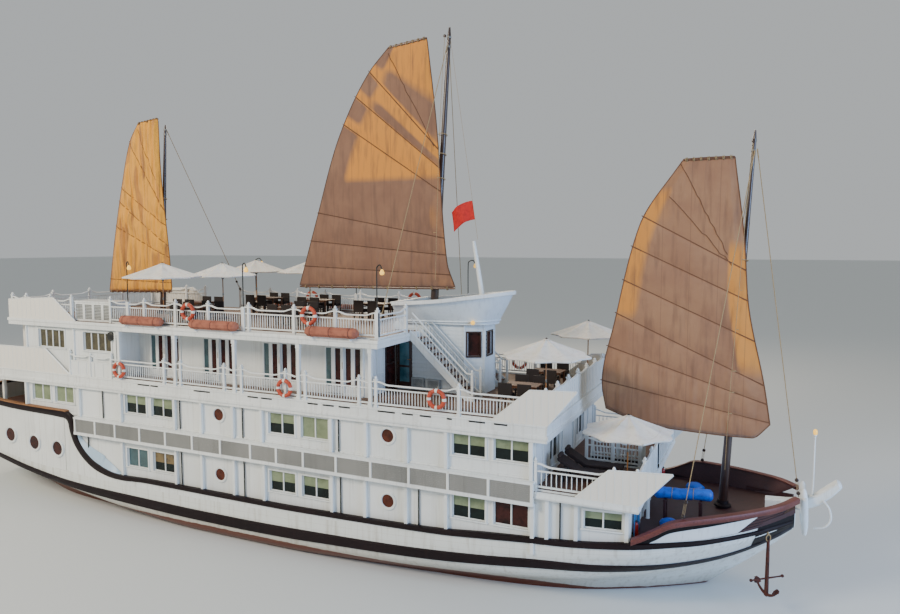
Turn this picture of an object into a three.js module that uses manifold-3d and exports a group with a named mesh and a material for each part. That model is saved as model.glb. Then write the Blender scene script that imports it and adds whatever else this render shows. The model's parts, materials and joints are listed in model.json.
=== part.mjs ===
// A wooden cruise junk with three masts, three decks of cabins and a flared sun-deck wheelhouse.
// Millimetres, +X to the bow, +Y to port, +Z up, origin amidships on the centreline at the waterline.
import * as THREE from "three";
import { mergeVertices } from "three/addons/utils/BufferGeometryUtils.js";
import Module from "manifold-3d";

const wasm = await Module();
wasm.setup();

// Driving dimensions
const GAP = 5; // clear joint between two pieces that touch
const WALL = 120; // cabin wall, boards and frame together
const BEAM = 8400; // breadth over the deck edges
const HALF = BEAM / 2;

const DECK = {
  // floor of each deck, and the thickness of the slab under it
  upper: { top: 3830, thick: 180, aft: -18700, fore: 13450 },
  promenade: { top: 5980, thick: 400, aft: -18900, fore: 10600 },
  sun: { top: 8350, thick: 280, aft: -14900, fore: 4500 },
};
const CABIN = {
  lower: { aft: -10700, knee: 10600, fore: 13100, side: 4040, bow: 3690 },
  middle: { aft: -14000, fore: 10150, side: 4045 },
  upper: { aft: -14000, fore: 3350, side: 4045, balcony: 2900, balconyAft: -8250 },
};
const WINDOW = { width: 1200, member: 750 };
// Each pair of side windows: x of its middle, sill and head
const LOWER_WINDOWS = [[-6545, 2260, 3070], [985, 2290, 3090], [8630, 2490, 3270]];
const MIDDLE_WINDOWS = [[-6545, 4570, 5360], [985, 4530, 5340], [8630, 4650, 5460], [-12390, 4640, 5420]];
const BOW_WINDOW = { aft: 11740, fore: 12930, low: 2790, high: 3370 };
// Portholes of each deck: x and z
const PORTHOLES = {
  radius: 260,
  lower: [[-2795, 2580], [4800, 2660]],
  middle: [[-2800, 4995], [4810, 5005]],
};
// Posts of the stern gallery
const GALLERY = { width: 130, inset: 520, promenade: [-18300, -16300, -14400], sun: [-14600] };
const VENT_BAND = { aft: -10750, fore: 10200, low: 3410, high: 4130, depth: 110 };

// Hull stations: x, keel height, lower and upper strake heights, half-breadths at the bilge, the
// waterline, the lower strake and the upper strake
const STATIONS = [
  { x: -18900, keel: 550, low: 1800, up: 2150, bilge: 1600, water: 2650, lowHalf: 3450, upHalf: 3640 },
  { x: -17000, keel: -100, low: 1580, up: 1900, bilge: 2000, water: 2900, lowHalf: 3880, upHalf: 4050 },
  { x: -14500, keel: -750, low: 1200, up: 1540, bilge: 2300, water: 3050, lowHalf: 4040, upHalf: 4180 },
  { x: -11500, keel: -1200, low: 850, up: 1320, bilge: 2700, water: 3180, lowHalf: 4090, upHalf: 4200 },
  { x: -8000, keel: -1500, low: 480, up: 1220, bilge: 3000, water: 3300, lowHalf: 4120, upHalf: 4200 },
  { x: -4000, keel: -1600, low: 280, up: 1240, bilge: 3200, water: 3420, lowHalf: 4150, upHalf: 4200 },
  { x: 0, keel: -1600, low: 300, up: 1310, bilge: 3300, water: 3450, lowHalf: 4150, upHalf: 4200 },
  { x: 4000, keel: -1600, low: 500, up: 1450, bilge: 3200, water: 3350, lowHalf: 4120, upHalf: 4200 },
  { x: 8000, keel: -1500, low: 800, up: 1680, bilge: 2800, water: 3080, lowHalf: 4000, upHalf: 4180 },
  { x: 11000, keel: -1300, low: 1050, up: 1900, bilge: 2100, water: 2600, lowHalf: 3750, upHalf: 4080 },
  { x: 13000, keel: -1000, low: 1280, up: 2080, bilge: 1300, water: 1950, lowHalf: 3250, upHalf: 3850 },
  { x: 14500, keel: -450, low: 1480, up: 2250, bilge: 750, water: 1400, lowHalf: 2550, upHalf: 3250 },
  { x: 15600, keel: 400, low: 1660, up: 2400, bilge: 450, water: 950, lowHalf: 1850, upHalf: 2650 },
  { x: 16600, keel: 1220, low: 1950, up: 2550, bilge: 300, water: 620, lowHalf: 1200, upHalf: 1900 },
  { x: 17400, keel: 1950, low: 2300, up: 2720, bilge: 200, water: 400, lowHalf: 700, upHalf: 1150 },
  { x: 17800, keel: 2400, low: 2560, up: 2840, bilge: 120, water: 230, lowHalf: 400, upHalf: 700 },
];
const STRAKE = { height: 280, proud: 70, bevel: 30 };
const CAMBER = 80; // rise of the main deck from its edge to the centreline
const KEEL = { width: 320, top: -400, bottom: -1850, aft: -17300, fore: 11500 };

const MASTS = {
  // foot and head of each mast on the centreline, and its radius at each end
  fore: { foot: [15578, 2790], head: [16190, 15350], radius: [150, 60] },
  main: { foot: [4470, 6005], head: [5350, 19900], radius: [190, 70] },
  mizzen: { foot: [-9850, 8370], head: [-9280, 17250], radius: [140, 55] },
};
const SAIL = { thick: 40, offset: 250, batten: 45, proud: 25 };
// Corners of each sail on its own plane, x and z, and its battens from leech to luff
const SAILS = {
  foresail: {
    side: -1,
    edge: [[16960, 5800], [16770, 6940], [16160, 9870], [16010, 11650], [15620, 14490],
      [14010, 14470], [12650, 12340], [11870, 9020], [11450, 6770], [11610, 5840],
      [13150, 5390], [15440, 5300], [16440, 5310]],
    battens: [[11690, 8070, 16610, 6540], [11900, 9270, 16360, 7250], [12170, 10420, 16220, 8600],
      [12370, 11620, 16080, 9870], [12830, 12580, 15910, 10910]],
    yard: [15620, 14490, 14010, 14470],
    boom: [11490, 6840, 16900, 5870],
  },
  mainsail: {
    side: -1,
    edge: [[5700, 10030], [5360, 10990], [4900, 16420], [4520, 19520], [2820, 19340], [1940, 18470],
      [1040, 17100], [290, 15540], [-600, 12900], [-1580, 9940]],
    battens: [[-1260, 10760, 5400, 10500], [-970, 11820, 5310, 11260], [-600, 12990, 5190, 11920],
      [880, 16430, 4990, 13770], [1440, 17480, 4930, 14690], [2050, 18470, 4900, 15410]],
    yard: [4520, 19520, 2820, 19340],
  },
  mizzen_sail: {
    side: -1,
    edge: [[-8930, 9530], [-9000, 10850], [-9410, 15610], [-9440, 17490], [-10730, 17350], [-11290, 16550],
      [-11940, 14440], [-12560, 11890], [-13040, 9430]],
    battens: [[-12900, 9980, -9100, 9880], [-12420, 12570, -9120, 11100], [-12110, 13730, -9200, 11700],
      [-11940, 14400, -9250, 12620], [-11290, 16500, -9400, 13520]],
    yard: [-9440, 17490, -10730, 17350],
  },
};
const SPAR = 55; // radius of the yards and booms
const STAY = 16; // radius of a stay
// Ends of the main stays: x, distance from the centreline, z
const MAIN_SHROUD = { head: [5290, 90, 19200], foot: [4250, 3830, 8370] };
const FORESTAY = { head: [16270, 0, 14750], foot: [17900, 0, 3440] };

const UMBRELLAS = {
  // centre, floor and height of each parasol
  umbrella_sun_1: { at: [-5800, -3780], floor: "sun", height: 2600 },
  umbrella_sun_2: { at: [-5500, -640], floor: "sun", height: 2535 },
  umbrella_sun_3: { at: [-6790, 3190], floor: "sun", height: 2590 },
  umbrella_sun_4: { at: [-3550, 3190], floor: "sun", height: 2590 },
  umbrella_promenade_1: { at: [10050, -2500], floor: "promenade", height: 2580 },
  umbrella_promenade_2: { at: [10050, 3400], floor: "promenade", height: 2620 },
  umbrella_terrace: { at: [12750, -2150], floor: "upper", height: 2330 },
};
const PARASOL = { radius: 1520, rise: 560, skirt: 60, pole: 28, base: 260 };

const RAIL = { height: 900, post: 90, bar: 60, low: 230 };
const COMPANIONWAY = { aft: 10950, fore: 12800, side: 400 }; // the stair opening in the terrace
const WHEELHOUSE = { aft: 3350, knee: 6350, fore: 7020, side: 850, front: 520, top: 8640 };
const STAIR = { foot: 7000, head: 4560, inner: 1000, outer: 1860 };
const RUDDER = { x: -17950, top: 700, bottom: -1750, chord: 1250, thick: 120, stock: 90 };
const PROPELLER = { x: -16600, y: 1250, z: -950, radius: 520, blades: 4 };

// Shapes
function solid(geometry) {
  const loose = geometry.index ? geometry.toNonIndexed() : geometry;
  const bare = new THREE.BufferGeometry();
  bare.setAttribute("position", loose.getAttribute("position"));
  const merged = mergeVertices(bare, 1e-3);
  return new wasm.Manifold(new wasm.Mesh({
    numProp: 3,
    vertProperties: merged.attributes.position.array,
    triVerts: new Uint32Array(merged.index.array),
  }));
}

function join(...solids) {
  return solids.flat().reduce((sum, next) => sum.add(next));
}

function cut(body, ...tools) {
  return tools.flat().reduce((rest, tool) => rest.subtract(tool), body);
}

function box([x0, x1], [y0, y1], [z0, z1]) {
  const size = new THREE.BoxGeometry(x1 - x0, y1 - y0, z1 - z0);
  return solid(size.translate((x0 + x1) / 2, (y0 + y1) / 2, (z0 + z1) / 2));
}

// An outline of [x, y] corners, extruded upwards
function plate(outline, z0, z1) {
  const shape = new THREE.Shape(outline.map(([x, y]) => new THREE.Vector2(x, y)));
  const deep = new THREE.ExtrudeGeometry(shape, { depth: z1 - z0, bevelEnabled: false });
  return solid(deep.translate(0, 0, z0));
}

// An outline of [x, z] corners, extruded across the ship
function upright(outline, y0, y1) {
  const shape = new THREE.Shape(outline.map(([x, z]) => new THREE.Vector2(x, z)));
  const deep = new THREE.ExtrudeGeometry(shape, { depth: y1 - y0, bevelEnabled: false });
  return solid(deep.rotateX(Math.PI / 2).translate(0, y1, 0));
}

// A round bar between two points, tapered where two radii are given
function bar(from, to, radius, sides = 8) {
  const [r0, r1] = Array.isArray(radius) ? radius : [radius, radius];
  const start = new THREE.Vector3(...from);
  const run = new THREE.Vector3(...to).sub(start);
  const rod = new THREE.CylinderGeometry(r1, r0, run.length(), sides);
  rod.translate(0, run.length() / 2, 0);
  const along = run.clone().normalize();
  const turn = new THREE.Quaternion().setFromUnitVectors(new THREE.Vector3(0, 1, 0), along);
  return solid(rod.applyQuaternion(turn).translate(...from));
}

// A skin through closed sections of equal point count, with flat ends
function loft(sections) {
  const count = sections[0].length;
  const corners = sections.flat();
  const faces = [];
  for (let s = 0; s + 1 < sections.length; s++) {
    for (let i = 0; i < count; i++) {
      const a = s * count + i;
      const b = s * count + ((i + 1) % count);
      faces.push([a, b, a + count], [b, b + count, a + count]);
    }
  }
  for (const [first, flip] of [[0, true], [(sections.length - 1) * count, false]]) {
    const ring = sections[first / count];
    const middle = corners.push(ring.reduce((sum, p) => sum.map((v, k) => v + p[k] / count), [0, 0, 0])) - 1;
    for (let i = 0; i < count; i++) {
      const edge = [first + i, first + ((i + 1) % count)];
      faces.push(flip ? [edge[1], edge[0], middle] : [edge[0], edge[1], middle]);
    }
  }
  const volume = faces.reduce((sum, [a, b, c]) => {
    const [p, q, r] = [a, b, c].map((i) => new THREE.Vector3(...corners[i]));
    return sum + p.dot(q.cross(r));
  }, 0);
  const wound = volume < 0 ? faces.map(([a, b, c]) => [a, c, b]) : faces;
  const geometry = new THREE.BufferGeometry();
  geometry.setAttribute("position", new THREE.Float32BufferAttribute(corners.flat(), 3));
  geometry.setIndex(wound.flat());
  return solid(geometry);
}

// A value of the station table at any x
function station(key, x) {
  const next = STATIONS.findIndex((s) => s.x >= x);
  if (next <= 0) return STATIONS[next === 0 ? 0 : STATIONS.length - 1][key];
  const [a, b] = [STATIONS[next - 1], STATIONS[next]];
  return a[key] + ((b[key] - a[key]) * (x - a.x)) / (b.x - a.x);
}

const deckEdge = (x) => station("up", x) + STRAKE.height;

// Hull
function hullSection(s) {
  const { height, proud, bevel } = STRAKE;
  const rise = (f) => s.keel + (s.low - s.keel) * f;
  const lowTop = Math.min(s.low + height, s.up - 2 * bevel);
  const half = [
    [60, s.keel],
    [s.bilge, rise(0.35)],
    [s.water, rise(0.7)],
    [s.lowHalf, s.low],
    [s.lowHalf + proud, s.low + bevel],
    [s.lowHalf + proud, lowTop - bevel],
    [s.lowHalf + (s.upHalf - s.lowHalf) * 0.4, lowTop],
    [s.upHalf, s.up],
    [s.upHalf + proud, s.up + bevel],
    [s.upHalf + proud, s.up + height - bevel],
    [s.upHalf, s.up + height],
  ];
  const port = half.map(([y, z]) => [s.x, y, z]);
  const starboard = half.map(([y, z]) => [s.x, -y, z]).reverse();
  return [...port, [s.x, 0, s.up + height + CAMBER], ...starboard];
}

function hullShell() {
  return loft(STATIONS.map(hullSection));
}

function keelFin() {
  const { width, top, bottom, aft, fore } = KEEL;
  const outline = [[aft, -300], [aft, bottom], [fore - 2500, bottom], [fore + 1400, -1150],
    [fore, top], [aft + 4000, top]];
  return upright(outline, -width / 2, width / 2);
}

function shaftBossing(side) {
  const { x, y, z } = PROPELLER;
  return join(
    bar([x + 260, side * y, z], [x + 7200, side * y, z], 110),
    box([x + 420, x + 620], [side * y - 40, side * y + 40], [z, 350]),
  );
}

function rudderHeel() {
  return box([RUDDER.x - 150, KEEL.aft + 300], [-110, 110], [KEEL.bottom - 60, RUDDER.bottom - 40]);
}

function hull() {
  const trunk = bar([RUDDER.x, 0, -1000], [RUDDER.x, 0, RUDDER.top + 40], RUDDER.stock + 20, 16);
  const solidHull = join(hullShell(), keelFin(), shaftBossing(1), shaftBossing(-1), rudderHeel());
  return cut(solidHull, trunk);
}

// A wall that follows the deck edge round one end of the ship; each row gives its four corners
function edgeWall(places, thick) {
  return loft(places.map(({ x, y, low, high, inward }) => {
    const [ix, iy] = [inward[0] * thick, inward[1] * thick];
    return [[x, y, low], [x, y, high], [x + ix, y + iy, high], [x + ix, y + iy, low]];
  }));
}

function mirrored(rows) {
  const port = rows.map((r) => ({ ...r, y: -r.y, inward: [r.inward[0], -r.inward[1]] }));
  return [...rows, ...port.reverse()];
}

// Forecastle wing: x at its foot, then x, half-breadth and height of its top, from aft to the raked tip
const FORECASTLE = [
  { foot: 13000, x: 13000, half: 3880, top: 2440, inward: [0, 1] },
  { foot: 13400, x: 13400, half: 3760, top: 2600, inward: [-0.15, 1] },
  { foot: 13900, x: 13900, half: 3610, top: 3020, inward: [-0.2, 1] },
  { foot: 14350, x: 14400, half: 3430, top: 3330, inward: [-0.3, 1] },
  { foot: 15200, x: 15600, half: 2790, top: 3480, inward: [-0.5, 0.85] },
  { foot: 15900, x: 16600, half: 2120, top: 3580, inward: [-0.55, 0.8] },
  { foot: 16500, x: 17350, half: 1450, top: 3660, inward: [-0.6, 0.75] },
];
const QUARTER = [
  // raised stern quarter, from where its edge sweeps up from the main deck to the transom
  { x: -8400, half: 4210, top: 1620, inward: [0, 1] },
  { x: -9300, half: 4210, top: 1760, inward: [0, 1] },
  { x: -10100, half: 4210, top: 2120, inward: [0, 1] },
  { x: -10700, half: 4205, top: 2750, inward: [0, 1] },
  { x: -11050, half: 4200, top: 3600, inward: [0, 1] },
  { x: -11350, half: 4198, top: 4200, inward: [0, 1] },
  { x: -12000, half: 4197, top: 4340, inward: [0, 1] },
  { x: -15000, half: 4195, top: 4400, inward: [0.02, 1] },
  { x: -17500, half: 4030, top: 4520, inward: [0.08, 1] },
  { x: -19100, half: 3740, top: 4650, inward: [0.8, 0.7] },
];

function bulwark(rows, thick) {
  const wall = edgeWall(mirrored(rows.map((r) => ({
    x: r.x,
    y: -r.half,
    low: Math.min(deckEdge(r.x) + GAP, r.top - 60),
    high: r.top,
    inward: r.inward,
  }))), thick);
  return cut(wall, hullShell().translate(0, 0, 1));
}

function capRail(rows, thick, wide, deep) {
  const overhang = (wide - thick) / 2;
  return edgeWall(mirrored(rows.map((r) => ({
    x: r.x - r.inward[0] * overhang,
    y: -r.half - r.inward[1] * overhang,
    low: r.top + GAP,
    high: r.top + GAP + deep,
    inward: r.inward,
  }))), wide);
}

// One flared wing of the forecastle with its cap; its foot stands on the deck edge
function forecastleWing(side, thick = 90, wide = 190, deep = 60) {
  const overhang = (wide - thick) / 2;
  const wall = loft(FORECASTLE.map(({ foot, x, half, top, inward: [ix, iy] }) => {
    const y = station("upHalf", foot) - 10;
    const low = Math.min(deckEdge(foot) + GAP, top - 60);
    return [[foot, side * y, low], [x, side * half, top], [x + ix * thick, side * (half - iy * thick), top],
      [foot + ix * thick, side * (y - iy * thick), low]];
  }));
  const cap = loft(FORECASTLE.map(({ x, half, top, inward: [ix, iy] }) => {
    const [near, far] = [[-overhang, half + iy * overhang], [wide - overhang, half - iy * (wide - overhang)]]
      .map(([run, y]) => [x + ix * run, side * y]);
    return [[...near, top - 5], [...near, top + deep], [...far, top + deep], [...far, top - 5]];
  }));
  return cut(join(wall, cap), hullShell().translate(0, 0, 1));
}

// A section across the ship at one x, from a low to a high level
const acrossAt = (x, half, z0, z1) => [[x, -half, z0], [x, half, z0], [x, half, z1], [x, -half, z1]];

// Bow beam, its cross bitts and the heel that stands on the deck
function bowBeam() {
  const z = deckEdge(17800) + GAP;
  const beam = loft([
    acrossAt(16900, 190, 3020, 3300),
    acrossAt(18100, 200, 3020, 3420),
    [[19150, -230, 3950], [19150, 230, 3950], [19020, 230, 4180], [19020, -230, 4180]],
  ]);
  const heel = box([16900, 17100], [-190, 190], [z - 700, 3100]);
  const bitts = [-1, 1].map((side) => {
    const section = (outer, level, top) => [[17980, side * 200, level], [18140, side * 200, level],
      [18140, side * outer, top], [17980, side * outer, top]];
    return loft([section(380, 2300, 2300), section(400, 3800, 3900)]);
  });
  const cross = box([18000, 18120], [-620, 620], [3460, 3620]);
  return cut(join(beam, bitts, cross, heel), hullShell().translate(0, 0, 1));
}

function anchor() {
  const [x, y, crown] = [17040, -1550, 650];
  const along = (reach, z) => [x + reach * 0.77, y + reach * 0.64, z];
  const out = (reach, z) => [x - reach * 0.64, y + reach * 0.77, z];
  const stock = bar(along(-580, crown + 540), along(580, crown + 540), 32, 6);
  const shank = bar([x, y, crown], [x, y, 2520], 45, 6);
  const arms = [-1, 1].map((side) => bar(out(0, crown + 20), out(side * 540, crown + 340), 45, 6));
  const flukes = [-1, 1].map((side) => {
    const [tipX, tipY] = out(side * 540, 0);
    return box([tipX - 110, tipX + 110], [tipY - 110, tipY + 110], [crown + 310, crown + 360]);
  });
  return join(shank, stock, arms, flukes);
}

// Decks
function ventBand(side) {
  const { aft, fore, low, high, depth } = VENT_BAND;
  const y = side < 0 ? [-HALF - depth, -HALF + 40] : [HALF - 40, HALF + depth];
  return box([aft, fore], y, [low, high]);
}

// The bulwark panel whose ends lean, at a deck's forward corner
function cornerPanel(side, outline) {
  return side < 0 ? upright(outline, -HALF, -HALF + 70) : upright(outline, HALF - 70, HALF);
}

function upperDeck() {
  const { top, thick, aft, fore } = DECK.upper;
  const half = [[aft, 3350], [-17500, 3750], [-15000, 3950], [-11100, 4000], [-10800, HALF], [fore, HALF]];
  const outline = [...half.map(([x, y]) => [x, -y]), ...half.slice().reverse()];
  const panel = [[11540, top - 20], [12550, top + 990], [14430, 4940], [fore, top - 20]];
  const sides = [-1, 1].map((side) => [ventBand(side), cornerPanel(side, panel)]);
  const way = COMPANIONWAY;
  const opening = box([way.aft, way.fore], [-way.side, way.side], [top - thick - 100, top + 100]);
  return join(cut(plate(outline, top - thick, top), opening), sides.flat());
}

// Square posts that hang under a deck, down to the deck below
function deckPosts(places, low, high) {
  const { width, inset } = GALLERY;
  return places.flatMap((x) => [-1, 1].map((side) => {
    const y = side * (HALF - inset);
    return box([x - width / 2, x + width / 2], [y - width / 2, y + width / 2], [low + GAP, high]);
  }));
}

function promenadeDeck() {
  const { top, thick, aft, fore } = DECK.promenade;
  const outline = [[aft, -3900], [-17000, -HALF], [fore, -HALF], [fore, HALF], [-17000, HALF], [aft, 3900]];
  const front = [[8730, top - 20], [10020, 7070], [11550, 7140], [fore, top - 20]];
  const stern = [[-17200, top - 20], [-17200, 7000], [-12600, 7030], [-11100, top - 20]];
  const panels = [-1, 1].flatMap((side) => [cornerPanel(side, front), cornerPanel(side, stern)]);
  const screen = box([fore - 130, fore - 60], [-HALF + 60, HALF - 60], [top - 20, top + 950]);
  const posts = deckPosts(GALLERY.promenade, DECK.upper.top, top - thick + 20);
  return join(plate(outline, top - thick, top), panels, screen, posts);
}

function sunDeck() {
  const { top, thick, aft, fore } = DECK.sun;
  const notch = { x: WHEELHOUSE.aft - GAP, y: WHEELHOUSE.side + GAP };
  const outline = [[aft, -HALF], [fore, -HALF], [fore, -notch.y], [notch.x, -notch.y],
    [notch.x, notch.y], [fore, notch.y], [fore, HALF], [aft, HALF]];
  const stern = [[aft, top - 20], [aft, 9180], [-11950, 9330], [-10600, top - 20]];
  const posts = deckPosts(GALLERY.sun, DECK.promenade.top, top - thick + 20);
  return join(plate(outline, top - thick, top), posts, [-1, 1].map((side) => cornerPanel(side, stern)));
}

// Cabins: a ring of wall with its openings cut
function walls(outline, inner, z0, z1) {
  return cut(plate(outline, z0, z1), plate(inner, z0 - 10, z1 + 10));
}

function ringOf(aft, fore, side) {
  return [[aft, -side], [fore, -side], [fore, side], [aft, side]];
}

// A plan whose sides draw in from a knee to the forward end
function kneedRing(aft, knee, fore, side, front) {
  return [[aft, -side], [knee, -side], [fore, -front], [fore, front], [knee, side], [aft, side]];
}

function sideWindows(pairs) {
  return pairs.flatMap(([x, low, high]) => [-1, 1].flatMap((member) => {
    const aft = x + member * WINDOW.member - WINDOW.width / 2;
    return box([aft, aft + WINDOW.width], [-HALF, HALF], [low, high]);
  }));
}

function portholes(places) {
  return places.map(([x, z]) => bar([x, -HALF, z], [x, HALF, z], PORTHOLES.radius, 16));
}

// Everything under the line of the deck edge, out past the hull's sides
function belowDeck() {
  const line = STATIONS.map((s) => [s.x, deckEdge(s.x) - 30]);
  return upright([...line, [line.at(-1)[0], -3000], [line[0][0], -3000]], -BEAM, BEAM);
}

function lowerHouse() {
  const { aft, knee, fore, side, bow } = CABIN.lower;
  const z1 = DECK.upper.top - DECK.upper.thick - GAP;
  const inner = kneedRing(aft + WALL, knee, fore - WALL, side - WALL, bow - WALL);
  const body = walls(kneedRing(aft, knee, fore, side, bow), inner, 1200, z1);
  const bowWindow = box([BOW_WINDOW.aft, BOW_WINDOW.fore], [-HALF, HALF], [BOW_WINDOW.low, BOW_WINDOW.high]);
  const bowDoor = box([fore - 400, fore + 200], [-450, 450], [2350, z1 - 150]);
  const openings = [sideWindows(LOWER_WINDOWS), portholes(PORTHOLES.lower), bowWindow, bowDoor];
  return cut(body, openings.flat(), hullShell().translate(0, 0, 1), belowDeck());
}

function middleHouse() {
  const { aft, fore, side } = CABIN.middle;
  const floor = DECK.upper.top;
  const z1 = DECK.promenade.top - DECK.promenade.thick - GAP;
  const inner = ringOf(aft + WALL, fore - WALL, side - WALL);
  const body = walls(ringOf(aft, fore, side), inner, floor + GAP, z1);
  const heights = [floor + 150, z1 - 150];
  const bowDoors = [-1780, 1780].map((y) => box([fore - 200, fore + 200], [y - 570, y + 570], heights));
  const sternDoor = box([aft - 200, aft + 200], [-500, 500], [floor + 150, z1 + 10]);
  return cut(body, sideWindows(MIDDLE_WINDOWS), portholes(PORTHOLES.middle), bowDoors, sternDoor);
}

// The span in y between two distances from the centreline, on one side
const across = (side, near, far) => [side * near, side * far].sort((a, b) => a - b);

// Places of the glazed balcony doors, and the leaf that slides in each
const BALCONY_DOORS = { places: [-6740, -3780, -680, 2250], width: 1600, height: 1900, sill: 60 };
const LEAF_FRAME = 70;

function balconyOpenings(side) {
  const { places, width, height, sill } = BALCONY_DOORS;
  const y = side * CABIN.upper.balcony;
  const floor = DECK.promenade.top;
  return places.flatMap((x) => [
    box([x - width / 2, x], [y - 200, y + 200], [floor + sill, floor + sill + height]),
    box([x + 60, x + width / 2], [y - 200, y + 200], [floor + sill + 200, floor + sill + height - 100]),
  ]);
}

// The sill and head tracks that a leaf slides between
function doorTracks(side) {
  const { places, width, height, sill } = BALCONY_DOORS;
  const [y0, y1] = across(side, CABIN.upper.balcony - 20, CABIN.upper.balcony + 75);
  const low = DECK.promenade.top + GAP;
  const span = (x) => [x - width / 2 - 60, x + width / 2 + 100];
  return places.flatMap((x) => [
    box(span(x), [y0, y1], [low, low + sill]),
    box(span(x), [y0, y1], [low + sill + height + 20, low + sill + height + 55]),
  ]);
}

function upperHouse() {
  const { aft, fore, side, balcony, balconyAft } = CABIN.upper;
  const z0 = DECK.promenade.top + GAP;
  const z1 = DECK.sun.top - DECK.sun.thick - GAP;
  const mastAft = WHEELHOUSE.aft - GAP;
  const outer = [[aft, -side], [balconyAft, -side], [balconyAft, -balcony], [mastAft, -balcony],
    [mastAft, balcony], [balconyAft, balcony], [balconyAft, side], [aft, side]];
  const inner = [[aft + WALL, -side + WALL], [balconyAft - WALL, -side + WALL],
    [balconyAft - WALL, -balcony + WALL], [mastAft - WALL, -balcony + WALL],
    [mastAft - WALL, balcony - WALL], [balconyAft - WALL, balcony - WALL],
    [balconyAft - WALL, side - WALL], [aft + WALL, side - WALL]];
  const body = join(walls(outer, inner, z0, z1), doorTracks(-1), doorTracks(1));
  const aftWindows = [-12310, -9430].map((x) =>
    box([x - 840, x + 840], [-side - 200, side + 200], [z0 + 1110, z1 - 160]));
  const sternDoor = box([aft - 200, aft + 200], [-600, 600], [z0 + 60, z1 - 100]);
  const casingDoorway = box([mastAft - 300, mastAft + 50], [-450, 450], [z0 + 60, z1 - 100]);
  return cut(body, aftWindows, sternDoor, casingDoorway, balconyOpenings(-1), balconyOpenings(1));
}

// One sliding leaf: a glazed frame that hangs on the outside of the balcony wall
function balconyDoor(x, side) {
  const { width, height, sill } = BALCONY_DOORS;
  const wall = CABIN.upper.balcony;
  const low = DECK.promenade.top + sill + 20;
  const leaf = [x - width / 2 - 40, x + 60];
  const frame = box(leaf, across(side, wall + 12, wall + 62), [low, low + height - 10]);
  const panes = [0, 1].map((i) => {
    const span = (leaf[1] - leaf[0] - 3 * LEAF_FRAME) / 2;
    const start = leaf[0] + LEAF_FRAME + i * (span + LEAF_FRAME);
    return box([start, start + span], across(side, wall - 200, wall + 200), [low + 200, low + height - 110]);
  });
  return cut(frame, panes);
}

// Wheelhouse on the promenade deck, with the casing that carries it aft
const CASING_DOOR = { aft: 3490, fore: 4060, height: 1900, sill: 60, thick: 45, play: 10 };

function wheelhouse() {
  const { aft, knee, fore, side, front, top } = WHEELHOUSE;
  const z0 = DECK.promenade.top + GAP;
  const { sill, height, play } = CASING_DOOR;
  const through = [-side - 200, side + 200];
  const glass = [7460, 8340];
  const inner = kneedRing(aft + WALL, knee - 60, fore - WALL, side - WALL, front - 60);
  const body = walls(kneedRing(aft, knee, fore, side, front), inner, z0, top);
  const sideWindows = box([6450, 6880], through, glass);
  const frontWindow = box([fore - 300, fore + 100], [-280, 280], glass);
  const leaf = [CASING_DOOR.aft - play, CASING_DOOR.fore + play];
  const doorway = box(leaf, through, [z0 + sill, z0 + sill + height + 2 * play]);
  const passage = box([aft - 50, aft + 300], [-450, 450], [z0 + 60, 7960]);
  const mastHole = bar([4560, 0, 7000], [4700, 0, 9500], 320, 12);
  return cut(body, sideWindows, frontWindow, doorway, passage, mastHole);
}

function casingDoor(side) {
  const { aft, fore, height, sill, thick, play } = CASING_DOOR;
  const y = side * (WHEELHOUSE.side - thick / 2);
  const low = DECK.promenade.top + GAP + sill + play;
  const leaf = box([aft, fore], [y - thick / 2, y + thick / 2], [low, low + height]);
  const pane = box([aft + 130, fore - 130], [y - 200, y + 200], [low + 500, low + height - 130]);
  return cut(leaf, pane);
}

// The flared roof bulwark above the wheelhouse, shaped like a boat's bow
function wheelhouseRoof() {
  const z0 = WHEELHOUSE.top + GAP;
  const rows = [
    // x at the foot, half-breadth at the foot, x at the rim, half-breadth at the rim, rim height
    [3700, 950, 3600, 1500, 9430],
    [5600, 950, 5600, 1520, 9590],
    [6600, 900, 6900, 1250, 9720],
    [7100, 600, 7550, 750, 9810],
    [7330, 60, 8010, 60, 9880],
  ];
  const wall = 70;
  const inside = (half) => Math.max(half - wall, 10);
  const ring = ([xf, hf, xr, hr, zr], side) => [
    [xf, side * hf, z0],
    [xr, side * hr, zr],
    [xr - wall * 0.4, side * inside(hr), zr],
    [xf - wall * 0.4, side * inside(hf), z0],
  ];
  const path = [...rows.map((r) => ring(r, -1)), ...rows.slice().reverse().map((r) => ring(r, 1))];
  const outline = rows.map(([x, h]) => [x, -h]);
  const floor = plate([...outline, ...outline.map(([x, y]) => [x, -y]).reverse()], z0, z0 + 80);
  return cut(join(loft(path), floor), bar([4640, 0, 8400], [4740, 0, 9800], 330, 12));
}

// Rails: posts, a top rail and a bottom rail along a path of [x, y] corners at a floor height
function railing(path, floor, { height, post, bar: thick, low } = RAIL, spacing = 1900) {
  const parts = [];
  for (let i = 0; i + 1 < path.length; i++) {
    const [a, b] = [path[i], path[i + 1]].map(([x, y]) => new THREE.Vector2(x, y));
    const steps = Math.max(1, Math.round(a.distanceTo(b) / spacing));
    for (const z of [height - thick / 2, low]) {
      const run = b.clone().sub(a);
      const rod = new THREE.BoxGeometry(run.length() + thick, thick, thick).rotateZ(run.angle());
      const middle = a.clone().add(b).multiplyScalar(0.5);
      parts.push(solid(rod.translate(middle.x, middle.y, floor + z)));
    }
    for (let k = i ? 1 : 0; k <= steps; k++) {
      const foot = new THREE.BoxGeometry(post, post, height + 20 - GAP);
      const { x, y } = a.clone().lerp(b, k / steps);
      parts.push(solid(foot.translate(x, y, floor + (height + 20 + GAP) / 2)));
    }
  }
  return join(parts);
}

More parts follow.
